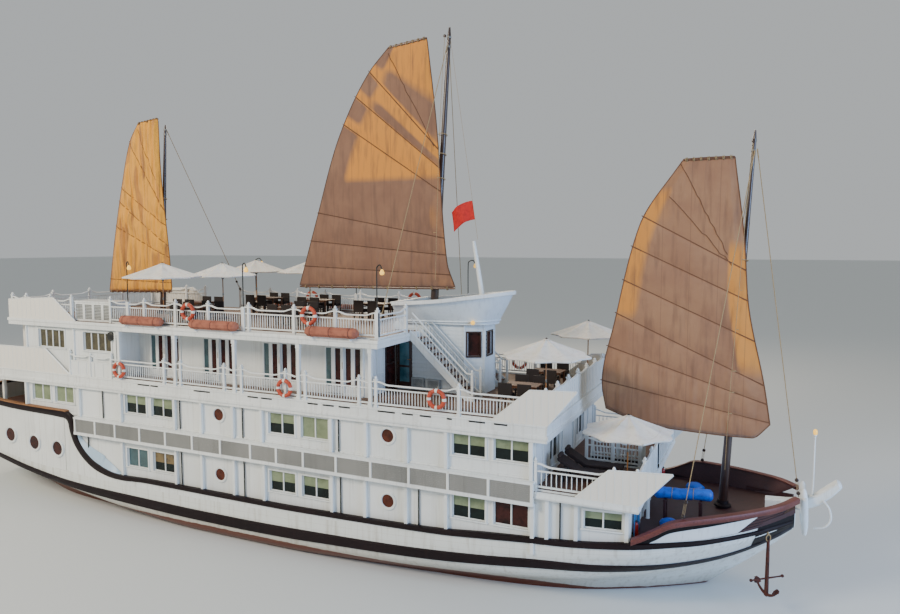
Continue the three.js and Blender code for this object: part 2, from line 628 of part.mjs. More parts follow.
// Balcony rail with the columns that carry the sun deck
function balconyRail(side) {
  const y = side * (HALF - 85);
  const floor = DECK.promenade.top;
  const under = DECK.sun.top - DECK.sun.thick - GAP;
  const columns = [-8050, -4930, -1880, 1130, 4180].map((x) =>
    box([x - 60, x + 60], [y - 60, y + 60], [floor + GAP, under]));
  return join(railing([[-11050, y], [8650, y]], floor, { ...RAIL, post: 80 }), columns);
}

// Side rails and a boarded front screen round the terrace
function terraceRail() {
  const { top, fore } = DECK.upper;
  const x = fore - 60;
  const y = HALF - 120;
  const screen = box([x - 35, x + 35], [-y, y], [top + GAP, top + RAIL.height]);
  return join(railing([[10260, -y], [x, -y], [x, y], [10260, y]], top, { ...RAIL, post: 80 }), screen);
}

function companionwayRail() {
  const { aft, fore, side } = COMPANIONWAY;
  const [x, y] = [fore + 60, side + 60];
  return railing([[aft, -y], [x, -y], [x, y], [aft, y]], DECK.upper.top, { ...RAIL, post: 80 });
}

function sunDeckRail() {
  const y = HALF - 170;
  const { fore, aft, top } = DECK.sun;
  const inner = STAIR.outer + 100;
  const [front, back] = [fore - 60, aft + 60];
  return railing([[front, -inner], [front, -y], [back, -y], [back, y], [front, y], [front, inner]], top);
}

function stair(side) {
  const { foot, head, inner, outer } = STAIR;
  const low = DECK.promenade.top + GAP;
  const high = DECK.sun.top;
  const [y0, y1] = [side * inner, side * outer].sort((a, b) => a - b);
  const treads = 11;
  const rise = (high - low) / treads;
  const going = (foot - head) / treads;
  const steps = Array.from({ length: treads }, (_, i) => {
    const x = foot - going * i;
    return box([x - going - 60, x], [y0 + 40, y1 - 40], [low + rise * (i + 1) - 50, low + rise * (i + 1)]);
  });
  const string = [[foot + 60, low], [foot - 200, low], [head, high - 320], [head, high],
    [foot + 60, low + 330]];
  const hand = [[foot + 20, low + 1000], [foot + 20, low + 1080], [head, high + 1000], [head, high + 920]];
  const [near, far] = side < 0 ? [y0, y1 - 50] : [y1 - 50, y0];
  const posts = [0.02, 0.35, 0.68, 0.98].map((k) => {
    const x = foot + (head - foot) * k;
    const z = low + (high - low) * k;
    return box([x - 30, x + 30], [near, near + 50], [z, z + 1020]);
  });
  const strings = [near, far].map((y) => upright(string, y, y + 50));
  return join(steps, strings, upright(hand, near, near + 50), posts);
}

// Masts and their stays
function mast({ foot, head, radius }) {
  const cap = bar([head[0], 0, head[1] - 500], [head[0] + 30, 0, head[1] - 380], radius[1] + 60, 8);
  return join(bar([foot[0], 0, foot[1]], [head[0], 0, head[1]], radius, 10), cap);
}

function stay({ head, foot }, side) {
  const [from, to] = [head, foot].map(([x, y, z]) => [x, side * y, z]);
  return bar(from, to, STAY, 6);
}

// Sails
const sailPlane = (side) => side * (SAIL.offset + SAIL.thick / 2);

function sailCloth({ edge, battens, side }) {
  const { thick, batten, proud } = SAIL;
  const y = sailPlane(side);
  const cloth = upright(edge, y - thick / 2, y + thick / 2);
  const ribs = battens.map(([x0, z0, x1, z1]) => {
    const { x, y: rise } = new THREE.Vector2(x1 - x0, z1 - z0).normalize().multiplyScalar(batten / 2);
    const outline = [[x0 + rise, z0 - x], [x1 + rise, z1 - x], [x1 - rise, z1 + x], [x0 - rise, z0 + x]];
    return upright(outline, y - thick / 2 - proud, y + thick / 2 + proud);
  });
  return join(cloth, ribs);
}

// The short yard along a sail's head, just above the cloth
function sailYard({ yard, side }) {
  const y = sailPlane(side);
  const [x0, z0, x1, z1] = yard;
  return bar([x0 + 80, y, z0 + SPAR + 10], [x1 - 80, y, z1 + SPAR], SPAR, 8);
}

// The boom lies along the foot, or on the cloth's face where the foot is cut in a curve
function sailBoom({ edge, boom, side }) {
  const y = sailPlane(side);
  if (boom) {
    const face = y - side * (SAIL.thick / 2 + SPAR + 1); // between the cloth and the mast
    return bar([boom[0], face, boom[1]], [boom[2], face, boom[3]], SPAR, 8);
  }
  const [tack, clew] = [edge[0], edge.at(-1)];
  return bar([clew[0], y, clew[1] - SPAR - 2], [tack[0], y, tack[1] - SPAR - 2], SPAR, 8);
}

// A parasol: canopy of eight flat panels, pole and weighted base
function parasol({ at: [x, y], floor, height }) {
  const { radius, rise, skirt, pole, base } = PARASOL;
  const z = DECK[floor].top + GAP;
  const top = z + height;
  const eave = top - rise;
  const ring = (r, level) => Array.from({ length: 8 }, (_, i) => {
    const turn = ((i + 0.5) * Math.PI) / 4;
    return [x + r * Math.cos(turn), y + r * Math.sin(turn), level];
  });
  const crown = [radius * 0.35, top - rise * 0.3];
  const outer = [ring(radius, eave - skirt), ring(radius, eave), ring(...crown), ring(60, top)];
  const inner = [ring(radius - 30, eave - skirt - 10), ring(radius - 30, eave - 12),
    ring(crown[0], crown[1] - 40), ring(60, top - 45)];
  const stand = [bar([x, y, z], [x, y, top - 20], pole, 8), bar([x, y, z], [x, y, z + 90], base, 12)];
  return join(cut(loft(outer), loft(inner)), stand);
}

function liferafts(side) {
  const y = side * (HALF + 110);
  const z = DECK.sun.top + 215;
  const pod = (x0, x1) => bar([x0, y, z], [x1, y, z], 200, 8);
  const deck = DECK.sun.top + GAP;
  const plank = box([-8100, 4200], across(side, HALF - 50, HALF + 60), [deck, deck + 40]);
  return join(plank, pod(-7670, -5370), pod(-3900, -1520), pod(1600, 3810));
}

function locker() {
  return box([-10880, -8620], [-HALF + 260, -HALF + 1200], [DECK.sun.top + GAP, DECK.sun.top + 880]);
}

// Steering and drive
function rudder() {
  const { x, top, bottom, chord, thick, stock } = RUDDER;
  const outline = [[x + 220, bottom], [x + 220, 0], [x - chord, 250],
    [x - chord - 100, bottom + 150], [x - chord + 250, bottom]];
  const blade = upright(outline, -thick / 2, thick / 2);
  return join(blade, bar([x, 0, bottom - 25], [x, 0, top], stock, 10));
}

function propeller(side) {
  const { x, y, z, radius, blades } = PROPELLER;
  const centre = [x, side * y, z];
  const hub = bar([x - 150, side * y, z], [x + 240, side * y, z], [90, 110], 10);
  const fans = Array.from({ length: blades }, (_, i) => {
    const blade = new THREE.BoxGeometry(60, 260, radius - 60);
    blade.rotateZ((side * 35 * Math.PI) / 180).translate(0, 0, (radius + 60) / 2);
    blade.rotateX((i * 2 * Math.PI) / blades).translate(...centre);
    return solid(blade);
  });
  return join(hub, fans);
}

// Assembly
const ship = new THREE.Group();

const COLOURS = {
  cream: { color: 0xe9e4d6, roughness: 0.55 },
  strake: { color: 0x2f1d1b, roughness: 0.6 },
  redwood: { color: 0x7a3b28, roughness: 0.6 },
  deckwood: { color: 0x8a6a4c, roughness: 0.7 },
  sailcloth: { color: 0x9a6428, roughness: 0.85 },
  spar: { color: 0x5a3a24, roughness: 0.6 },
  canvas: { color: 0xe8e4dc, roughness: 0.8 },
  iron: { color: 0x4b322a, roughness: 0.8 },
  bronze: { color: 0xa07a3c, roughness: 0.35, metalness: 1 },
  raft: { color: 0xa85a34, roughness: 0.6 },
  glass: { color: 0x38423e, roughness: 0.2 },
};
const FINISH = Object.fromEntries(Object.entries(COLOURS).map(([name, look]) =>
  [name, new THREE.MeshStandardMaterial(look)]));

function add(name, shape, finish) {
  const { vertProperties, triVerts } = shape.getMesh();
  const geometry = new THREE.BufferGeometry();
  geometry.setAttribute("position", new THREE.BufferAttribute(new Float32Array(vertProperties), 3));
  geometry.setIndex(new THREE.BufferAttribute(new Uint32Array(triVerts), 1));
  const mesh = new THREE.Mesh(geometry, FINISH[finish]);
  mesh.name = name;
  ship.add(mesh);
}

add("hull", hull(), "cream");
add("forecastle_bulwark_starboard", forecastleWing(-1), "cream");
add("forecastle_bulwark_port", forecastleWing(1), "cream");
add("quarter_bulwark", bulwark(QUARTER, 90), "cream");
add("quarter_cap", capRail(QUARTER, 90, 190, 60), "strake");
add("bow_beam", bowBeam(), "cream");
add("anchor", anchor(), "iron");
add("lower_house", lowerHouse(), "cream");
add("upper_deck", upperDeck(), "cream");
add("middle_house", middleHouse(), "cream");
add("promenade_deck", promenadeDeck(), "cream");
add("upper_house", upperHouse(), "cream");
add("sun_deck", sunDeck(), "cream");
add("wheelhouse", wheelhouse(), "cream");
add("wheelhouse_roof", wheelhouseRoof(), "cream");
add("terrace_rail", terraceRail(), "cream");
add("companionway_rail", companionwayRail(), "cream");
add("sun_deck_rail", sunDeckRail(), "cream");
add("locker", locker(), "cream");
for (const [name, side] of [["starboard", -1], ["port", 1]]) {
  add(`balcony_rail_${name}`, balconyRail(side), "cream");
  add(`stair_${name}`, stair(side), "cream");
  add(`liferafts_${name}`, liferafts(side), "raft");
  add(`casing_door_${name}`, casingDoor(side), "glass");
  add(`propeller_${name}`, propeller(side), "bronze");
  BALCONY_DOORS.places.forEach((x, i) => {
    add(`balcony_door_${name}_${i + 1}`, balconyDoor(x, side), "cream");
  });
}
add("rudder", rudder(), "redwood");

for (const [name, place] of Object.entries(UMBRELLAS)) add(name, parasol(place), "canvas");

add("foremast", mast(MASTS.fore), "spar");
add("main_mast", mast(MASTS.main), "spar");
add("mizzen_mast", mast(MASTS.mizzen), "spar");
for (const [name, sail] of Object.entries(SAILS)) {
  add(name, sailCloth(sail), "sailcloth");
  add(`${name}_yard`, sailYard(sail), "spar");
  add(`${name}_boom`, sailBoom(sail), "spar");
}
add("forestay", stay(FORESTAY, 1), "iron");
add("main_shroud_starboard", stay(MAIN_SHROUD, -1), "iron");
add("main_shroud_port", stay(MAIN_SHROUD, 1), "iron");

export default ship;
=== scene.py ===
import json
import math
import random
from bisect import bisect

import bpy
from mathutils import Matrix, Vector, noise

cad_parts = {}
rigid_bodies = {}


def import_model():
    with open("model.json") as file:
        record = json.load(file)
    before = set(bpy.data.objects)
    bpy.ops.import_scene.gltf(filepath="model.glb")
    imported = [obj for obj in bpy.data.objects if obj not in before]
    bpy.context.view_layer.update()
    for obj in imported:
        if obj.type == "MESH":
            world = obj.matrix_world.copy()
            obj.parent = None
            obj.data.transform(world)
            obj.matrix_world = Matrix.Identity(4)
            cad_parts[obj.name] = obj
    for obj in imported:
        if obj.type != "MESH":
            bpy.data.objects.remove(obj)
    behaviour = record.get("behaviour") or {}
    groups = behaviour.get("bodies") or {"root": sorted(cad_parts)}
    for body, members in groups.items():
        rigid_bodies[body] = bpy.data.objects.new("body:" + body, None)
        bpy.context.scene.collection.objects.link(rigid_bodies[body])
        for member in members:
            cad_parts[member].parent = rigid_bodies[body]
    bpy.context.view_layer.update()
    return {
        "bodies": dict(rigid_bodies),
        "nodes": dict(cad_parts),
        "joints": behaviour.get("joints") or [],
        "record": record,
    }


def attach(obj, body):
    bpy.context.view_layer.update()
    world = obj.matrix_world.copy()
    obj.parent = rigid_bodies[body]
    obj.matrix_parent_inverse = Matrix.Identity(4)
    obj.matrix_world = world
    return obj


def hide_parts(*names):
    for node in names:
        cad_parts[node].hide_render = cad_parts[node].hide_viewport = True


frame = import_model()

# A three-mast cruise junk, in metres: +X to the bow, +Y to port, +Z up, the water at z = 0.
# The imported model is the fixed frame; every piece below is made in its place on it.
scene = bpy.context.scene
cadNodes = frame["nodes"]
sides = (-1, 1)  # starboard, port
sideNames = {-1: "starboard", 1: "port"}
terraceZ, promenadeZ, sunDeckZ = 3.84, 5.985, 8.357  # tops of the decks

# Camera where the photograph was taken from
cameraSetup = {
    "place": (16.918, -25.355, 11.65),
    "heading": 24.5,  # degrees to port of the +Y direction
    "dip": 4.98,  # degrees below level
    "lens": 28.48,
    "sensor": 36,
}
cameraData = bpy.data.cameras.new("photoCamera")
cameraData.lens = cameraSetup["lens"]
cameraData.sensor_width = cameraSetup["sensor"]
cameraData.clip_end = 2000
camera = bpy.data.objects.new("photoCamera", cameraData)
camera.location = cameraSetup["place"]
camera.rotation_euler = (math.radians(90 - cameraSetup["dip"]), 0, math.radians(cameraSetup["heading"]))
scene.collection.objects.link(camera)
scene.camera = camera


# Node and colour helpers
def colour(code):
    parts = [int(code[i:i + 2], 16) / 255 for i in (1, 3, 5)]  # sRGB hex
    return [c / 12.92 if c <= 0.04045 else ((c + 0.055) / 1.055) ** 2.4 for c in parts] + [1.0]


def addNode(tree, kind, settings=None, links=None):
    node = tree.nodes.new(kind if tree.type == "GEOMETRY" else "ShaderNode" + kind)
    for key, value in (settings or {}).items():
        if isinstance(key, int) or key in node.inputs:
            node.inputs[key].default_value = value
        else:
            setattr(node, key, value)
    for key, source in (links or {}).items():
        if isinstance(source, bpy.types.Node):
            source = source.outputs[2 if source.type == "MIX" else 0]  # a mix gives its colour third
        tree.links.new(source, node.inputs[key])
    return node


# Shapes: each is a pair of its corners and its faces
def slab(xs, ys, zs):
    points = [(x, y, z) for x in sorted(xs) for y in sorted(ys) for z in sorted(zs)]
    return points, [(0, 1, 3, 2), (4, 6, 7, 5), (0, 4, 5, 1), (2, 3, 7, 6), (0, 2, 6, 4), (1, 5, 7, 3)]


def post(x, y, half, zs):
    return slab((x - half, x + half), (y - half, y + half), zs)


def outward(shape):
    points, faces = shape
    volume = 0
    for face in faces:
        a = Vector(points[face[0]])
        for i in range(1, len(face) - 1):
            volume += a.dot(Vector(points[face[i]]).cross(Vector(points[face[i + 1]])))
    return shape if volume >= 0 else (points, [face[::-1] for face in faces])


def loft(rings, ends=True):
    count, size = len(rings[0]), len(rings) * len(rings[0])
    points = [tuple(p) for ring in rings for p in ring]
    faces = [(a + i, a + (i + 1) % count, a + count + (i + 1) % count, a + count + i)
             for a in range(0, size - count, count) for i in range(count)]
    if ends:
        faces += [tuple(range(count))[::-1], tuple(range(size - count, size))]
    else:
        faces += [(size - count + i, size - count + (i + 1) % count, (i + 1) % count, i)
                  for i in range(count)]
    return outward((points, faces))


def skin(rows):
    count = len(rows[0])  # an open sheet of rows
    points = [tuple(p) for row in rows for p in row]
    return points, [(a, a + 1, a + count + 1, a + count) for r in range(len(rows) - 1)
                    for a in range(r * count, r * count + count - 1)]


def prism(outline, low, high):
    return loft([[(u, w, v) for u, v in outline] for w in (low, high)])  # drawn in x and z, thick along y


def turns(count, shift=0):
    return [2 * math.pi * (k + shift) / count for k in range(count)]


def tube(path, radius, sides=8, closed=False):
    path = [Vector(p) for p in path]
    last = len(path) - 1
    radii = radius if isinstance(radius, (list, tuple)) else [radius] * len(path)
    rings, up = [], None
    for i, p in enumerate(path):
        if closed:
            ahead = (path[(i + 1) % len(path)] - path[i - 1]).normalized()
        else:
            ahead = (path[min(i + 1, last)] - path[max(i - 1, 0)]).normalized()
        up = ahead.orthogonal() if up is None else up - ahead * up.dot(ahead)
        up.normalize()
        across = ahead.cross(up)
        rings.append([p + (up * math.cos(a) + across * math.sin(a)) * radii[i] for a in turns(sides)])
    return loft(rings, ends=not closed)


def turned(base, profile, sides=12, axis=(0, 0, 1)):
    spin = Vector((0, 0, 1)).rotation_difference(Vector(axis))  # profile of (radius, height)
    return loft([[Vector(base) + spin @ Vector((radius * math.cos(a), radius * math.sin(a), height))
                  for a in turns(sides, 0.5)] for radius, height in profile])


def sweep(path, profile, closed=False):
    path = [Vector(p) for p in path]  # plan path with its outer side on the right, mitred at its corners
    rings = []
    for i, p in enumerate(path):
        steps = []
        if closed or i:
            steps.append((p - path[i - 1]).normalized())
        if closed or i + 1 < len(path):
            steps.append((path[(i + 1) % len(path)] - p).normalized())
        outs = [Vector((d.y, -d.x)) for d in steps]
        mitre = sum(outs, Vector((0, 0))) / (1 + (outs[0].dot(outs[1]) if len(outs) > 1 else 0))
        rings.append([(p.x + mitre.x * out, p.y + mitre.y * out, z) for out, z in profile])
    return loft(rings, ends=not closed)


def moved(shape, offset):
    return [tuple(Vector(p) + Vector(offset)) for p in shape[0]], shape[1]


def mirrored(shape):
    return [(x, -y, z) for x, y, z in shape[0]], [face[::-1] for face in shape[1]]


def bothSides(shapes):
    return list(shapes) + [mirrored(shape) for shape in shapes]


def onSide(side, shapes):
    return [mirrored(shape) for shape in shapes] if side > 0 else list(shapes)  # drawn on starboard


def spread(first, last, count):
    return [first + (last - first) * i / (count - 1) for i in range(count)]


def smoothAt(knots, x):
    xs = [k[0] for k in knots]  # smooth value at x along knots of (x, value), without overshoot
    i = min(max(bisect(xs, x) - 1, 0), len(xs) - 2)
    rise = [(knots[k + 1][1] - knots[k][1]) / (xs[k + 1] - xs[k]) for k in range(len(xs) - 1)]

    def slope(k):
        if k == 0 or k == len(xs) - 1:
            return rise[min(k, len(rise) - 1)]
        a, b = rise[k - 1], rise[k]
        return 0 if a * b <= 0 else 2 * a * b / (a + b)

    width = xs[i + 1] - xs[i]
    t = min(max((x - xs[i]) / width, 0), 1)
    a, b = knots[i][1], knots[i + 1][1]
    return (a * (1 + 2 * t) * (1 - t) ** 2 + b * t * t * (3 - 2 * t)
            + width * t * (1 - t) * (slope(i) * (1 - t) - slope(i + 1) * t))


def makePiece(name, body, groups, replaced=(), bevel=0, smooth=50, uvs=None):
    points, faces, marks = [], [], []
    for index, (material, shapes) in enumerate(groups):
        for shapePoints, shapeFaces in shapes:
            start = len(points)
            points.extend(tuple(p) for p in shapePoints)
            faces.extend(tuple(i + start for i in face) for face in shapeFaces)
            marks.extend([index] * len(shapeFaces))
    mesh = bpy.data.meshes.new(name)
    mesh.from_pydata(points, [], faces)
    for material, shapes in groups:
        mesh.materials.append(material)
    mesh.polygons.foreach_set("material_index", marks)
    mesh.polygons.foreach_set("use_smooth", [smooth > 0] * len(faces))
    if uvs:
        layer = mesh.uv_layers.new(name="surface")
        layer.data.foreach_set("uv", [c for loop in mesh.loops for c in uvs[loop.vertex_index]])
    mesh.update()
    if smooth:
        mesh.set_sharp_from_angle(angle=math.radians(smooth))
    piece = bpy.data.objects.new(name, mesh)
    scene.collection.objects.link(piece)
    if bevel:
        edges = piece.modifiers.new("softEdges", "BEVEL")
        edges.width = bevel
        edges.segments = 1
        edges.limit_method = "ANGLE"
        edges.angle_limit = math.radians(smooth)
    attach(piece, body)
    if replaced:
        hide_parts(*replaced)
    return piece


def thickened(piece, thickness, offset):
    solid = piece.modifiers.new("clothThickness", "SOLIDIFY")
    solid.thickness = thickness
    solid.offset = offset


# Geometry Nodes: copies of one unit along paths, each stretched down to a foot level
def buildRowTree():
    tree = bpy.data.node_groups.new("unitsAlongPath", "GeometryNodeTree")
    for socketName, kind in (("Geometry", "Geometry"), ("Unit", "Object"), ("Spacing", "Float"),
                             ("Foot level", "Float"), ("Finish", "Material")):
        tree.interface.new_socket(socketName, in_out="INPUT", socket_type="NodeSocket" + kind)
    tree.interface.new_socket("Geometry", in_out="OUTPUT", socket_type="NodeSocketGeometry")
    given = addNode(tree, "NodeGroupInput").outputs
    path = addNode(tree, "GeometryNodeMeshToCurve", links={"Mesh": given["Geometry"]})
    points = addNode(tree, "GeometryNodeResampleCurve", {"mode": "LENGTH"},
                     {"Curve": path.outputs["Curve"], "Length": given["Spacing"]})
    ends = addNode(tree, "GeometryNodeCurveEndpointSelection")
    inner = addNode(tree, "FunctionNodeBooleanMath", {"operation": "NOT"}, {0: ends.outputs["Selection"]})
    place = addNode(tree, "GeometryNodeInputPosition")
    split = addNode(tree, "ShaderNodeSeparateXYZ", links={0: place.outputs[0]})
    drop = addNode(tree, "ShaderNodeMath", {"operation": "SUBTRACT"},
                   {0: split.outputs["Z"], 1: given["Foot level"]})
    scale = addNode(tree, "ShaderNodeCombineXYZ", {"X": 1.0, "Y": 1.0}, {"Z": drop.outputs[0]})
    unit = addNode(tree, "GeometryNodeObjectInfo", {"transform_space": "ORIGINAL"}, {"Object": given["Unit"]})
    copies = addNode(tree, "GeometryNodeInstanceOnPoints", links={
        "Points": points.outputs["Curve"], "Selection": inner.outputs[0],
        "Instance": unit.outputs["Geometry"], "Scale": scale.outputs[0]})
    real = addNode(tree, "GeometryNodeRealizeInstances", links={"Geometry": copies.outputs[0]})
    painted = addNode(tree, "GeometryNodeSetMaterial",
                      links={"Geometry": real.outputs[0], "Material": given["Finish"]})
    addNode(tree, "NodeGroupOutput", links={"Geometry": painted.outputs[0]})
    return tree


rowTree = buildRowTree()


def unitsAlong(paths, unit, spacing, material, foot):
    meshes = bpy.data.meshes.new("row"), bpy.data.meshes.new("unit")
    points = [tuple(p) for path in paths for p in path]
    meshes[0].from_pydata(points, [(i, i + 1) for i in range(0, len(points), 2)], [])
    meshes[1].from_pydata(unit[0], [], unit[1])
    row, unitObject = (bpy.data.objects.new(mesh.name, mesh) for mesh in meshes)
    for helper in (row, unitObject):
        scene.collection.objects.link(helper)
    nodesOn = row.modifiers.new("units", "NODES")
    nodesOn.node_group = rowTree
    values = {"Unit": unitObject, "Spacing": spacing, "Foot level": foot, "Finish": material}
    for item in rowTree.interface.items_tree:
        if item.in_out == "INPUT" and item.name in values:
            nodesOn[item.identifier] = values[item.name]
    view = bpy.context.evaluated_depsgraph_get()
    made = bpy.data.meshes.new_from_object(row.evaluated_get(view))
    shape = [tuple(v.co) for v in made.vertices], [tuple(f.vertices) for f in made.polygons]
    for helper in (row, unitObject):
        bpy.data.objects.remove(helper)
    bpy.data.meshes.remove(made)
    return shape


print("frame, camera and helpers ready")


# Materials, each named for the real one or for the light or shade painted into it
def newMaterial(name, base, roughness, metallic=0.0, **extra):
    material = bpy.data.materials.new(name)
    material.use_nodes = True
    shader = material.node_tree.nodes["Principled BSDF"]
    values = {"Base Color": colour(base), "Roughness": roughness, "Metallic": metallic, **extra}
    for key, value in values.items():
        shader.inputs[key.replace("_", " ")].default_value = value
    place = addNode(material.node_tree, "TexCoord").outputs["Object"]
    return material, material.node_tree, place


def shaderOf(material):
    return material.node_tree.nodes["Principled BSDF"].inputs


# A second colour laid over the first where a value is high; either is a hex code or a node
def overlay(tree, under, over, value, low=0.0, high=1.0, most=1.0, least=0.0):
    share = addNode(tree, "MapRange", {1: low, 2: high, 3: least, 4: most}, {0: value})
    tints = {6: under, 7: over}
    return addNode(tree, "Mix", {"data_type": "RGBA",
                                 **{k: colour(v) for k, v in tints.items() if isinstance(v, str)}},
                   {0: share, **{k: v for k, v in tints.items() if not isinstance(v, str)}})


# 0 in the seams and 1 between them, for rows of one width along a value
def seamsIn(tree, value, width, low, high, least=0.0):
    rows = addNode(tree, "Math", {"operation": "DIVIDE", 1: width}, {0: value})
    part = addNode(tree, "Math", {"operation": "FRACT"}, {0: rows})
    return addNode(tree, "MapRange", {1: low, 2: high, 3: least}, {0: part}), rows


# The last steps of every material: its colour, and its height as bump
def finished(material, tint, height, strength, distance=0.004):
    tree = material.node_tree
    bump = addNode(tree, "Bump", {"Strength": strength, "Distance": distance}, {"Height": height})
    tree.links.new(tint.outputs[2], shaderOf(material)["Base Color"])
    tree.links.new(bump.outputs[0], shaderOf(material)["Normal"])
    return material


# Oil paint brushed on planed boards: soft sheen, a little chalked by the sun, rain streaks from the edges
def brushedOilPaint(name, fresh, chalked, stained, roughness=0.42, streaks=0.55):
    material, tree, place = newMaterial(name, fresh, roughness)
    patches = addNode(tree, "TexNoise", {"Scale": 0.55, "Detail": 4.0}, {"Vector": place})
    aged = overlay(tree, fresh, chalked, patches, 0.42, 0.68, 0.8)
    tall = addNode(tree, "Mapping", {"Scale": (9.0, 9.0, 0.45)}, {"Vector": place})
    drips = addNode(tree, "TexNoise", {"Scale": 1.0, "Detail": 5.0, "Roughness": 0.6}, {"Vector": tall})
    dirty = overlay(tree, aged, stained, drips, 0.52, 0.82, streaks)
    # Brush marks are 1 mm apart and drawn at 17 mm, to show
    brush = addNode(tree, "Mapping", {"Scale": (4.0, 4.0, 60.0)}, {"Vector": place})
    marks = addNode(tree, "TexNoise", {"Scale": 1.0, "Detail": 3.0}, {"Vector": brush})
    gloss = addNode(tree, "MapRange", {1: 0.3, 2: 0.7, 3: roughness - 0.08, 4: roughness + 0.14},
                    {0: patches})
    tree.links.new(gloss.outputs[0], shaderOf(material)["Roughness"])
    return finished(material, dirty, marks, 0.25)


# Hull topsides: brushed paint above, rust-brown bottom paint below a ragged, scummed waterline
def bottomPaintedHull(name, topsides, bottom, scum):
    boot, plank = 0.44, 0.24  # height of the waterline's edge, and width of a plank
    material, tree, place = newMaterial(name, topsides, 0.4)
    split = addNode(tree, "SeparateXYZ", links={0: place}).outputs
    sweepDown = addNode(tree, "MapRange", {1: 7.0, 2: 12.0, 4: 0.36}, {0: split["X"]})
    level = addNode(tree, "Math", {"operation": "ADD"}, {0: split["Z"], 1: sweepDown})
    ragged = addNode(tree, "TexNoise", {"Scale": 2.2, "Detail": 6.0}, {"Vector": place})
    edge = addNode(tree, "Math", {"operation": "MULTIPLY_ADD", 1: 0.1}, {0: ragged, 2: level})
    tall = addNode(tree, "Mapping", {"Scale": (7.0, 7.0, 0.5)}, {"Vector": place})
    drips = addNode(tree, "TexNoise", {"Scale": 1.0, "Detail": 6.0}, {"Vector": tall})
    streaked = overlay(tree, topsides, scum, drips, 0.5, 0.8, 0.5)
    scummed = overlay(tree, streaked, scum, edge, boot + 0.05, boot + 0.75, 0.0, 0.55)
    painted = overlay(tree, bottom, scummed, edge, boot + 0.04, boot + 0.06)
    uv = addNode(tree, "UVMap", {"uv_map": "surface"})
    girth = addNode(tree, "SeparateXYZ", links={0: uv})
    seam, rows = seamsIn(tree, girth.outputs["Y"], plank, 0.0, 0.06)
    seamed = overlay(tree, scum, painted, seam, least=0.55)
    marks = addNode(tree, "TexNoise", {"Scale": 14.0, "Detail": 4.0}, {"Vector": place})
    height = addNode(tree, "Math", {"operation": "MULTIPLY_ADD", 1: 0.35}, {0: marks, 2: seam})
    return finished(material, seamed, height, 0.22, 0.006)


# Planed or varnished timber: grain drawn out along one axis, darker late wood, pores as fine bump
def plainSawnTimber(name, early, late, roughness, along="x", grainMm=25, coat=0.0, worn=None):
    material, tree, place = newMaterial(name, early, roughness, Coat_Weight=coat, Coat_Roughness=0.25)
    fine = 1000 / grainMm
    stretch = {"x": (fine / 14, fine, fine), "z": (fine, fine, fine / 14)}[along]
    drawn = addNode(tree, "Mapping", {"Scale": stretch}, {"Vector": place})
    grain = addNode(tree, "TexNoise", {"Scale": 1.0, "Detail": 6.0, "Roughness": 0.62}, {"Vector": drawn})
    wood = overlay(tree, early, late, grain, 0.36, 0.66)
    patches = addNode(tree, "TexNoise", {"Scale": 0.9, "Detail": 3.0}, {"Vector": place})
    aged = overlay(tree, wood, worn or early, patches, 0.5, 0.75, 0.6)
    return finished(material, aged, grain, 0.3, 0.003)


# Deck: caulked boards on every face that looks up, brushed paint on the edges and underside
def caulkedDeck(name, board, dark, caulk, paint):
    material, tree, place = newMaterial(name, board, 0.6)
    split = addNode(tree, "SeparateXYZ", links={0: place})
    seam, rows = seamsIn(tree, split.outputs["Y"], 0.12, 0.03, 0.09)  # boards 120 mm wide
    which = addNode(tree, "Math", {"operation": "FLOOR"}, {0: rows})
    tone = addNode(tree, "TexWhiteNoise", {"noise_dimensions": "1D"}, {"W": which})
    drawn = addNode(tree, "Mapping", {"Scale": (1.6, 30.0, 30.0)}, {"Vector": place})
    grain = addNode(tree, "TexNoise", {"Scale": 1.0, "Detail": 5.0}, {"Vector": drawn})
    shade = addNode(tree, "Math", {"operation": "MULTIPLY_ADD", 1: 0.5}, {0: tone, 2: grain})
    wood = overlay(tree, board, dark, shade, 0.35, 1.1)
    caulked = overlay(tree, caulk, wood, seam)
    normal = addNode(tree, "NewGeometry").outputs["True Normal"]
    up = addNode(tree, "SeparateXYZ", links={0: normal}).outputs["Z"]
    return finished(material, overlay(tree, paint, caulked, up, 0.8, 0.95), seam, 0.3)


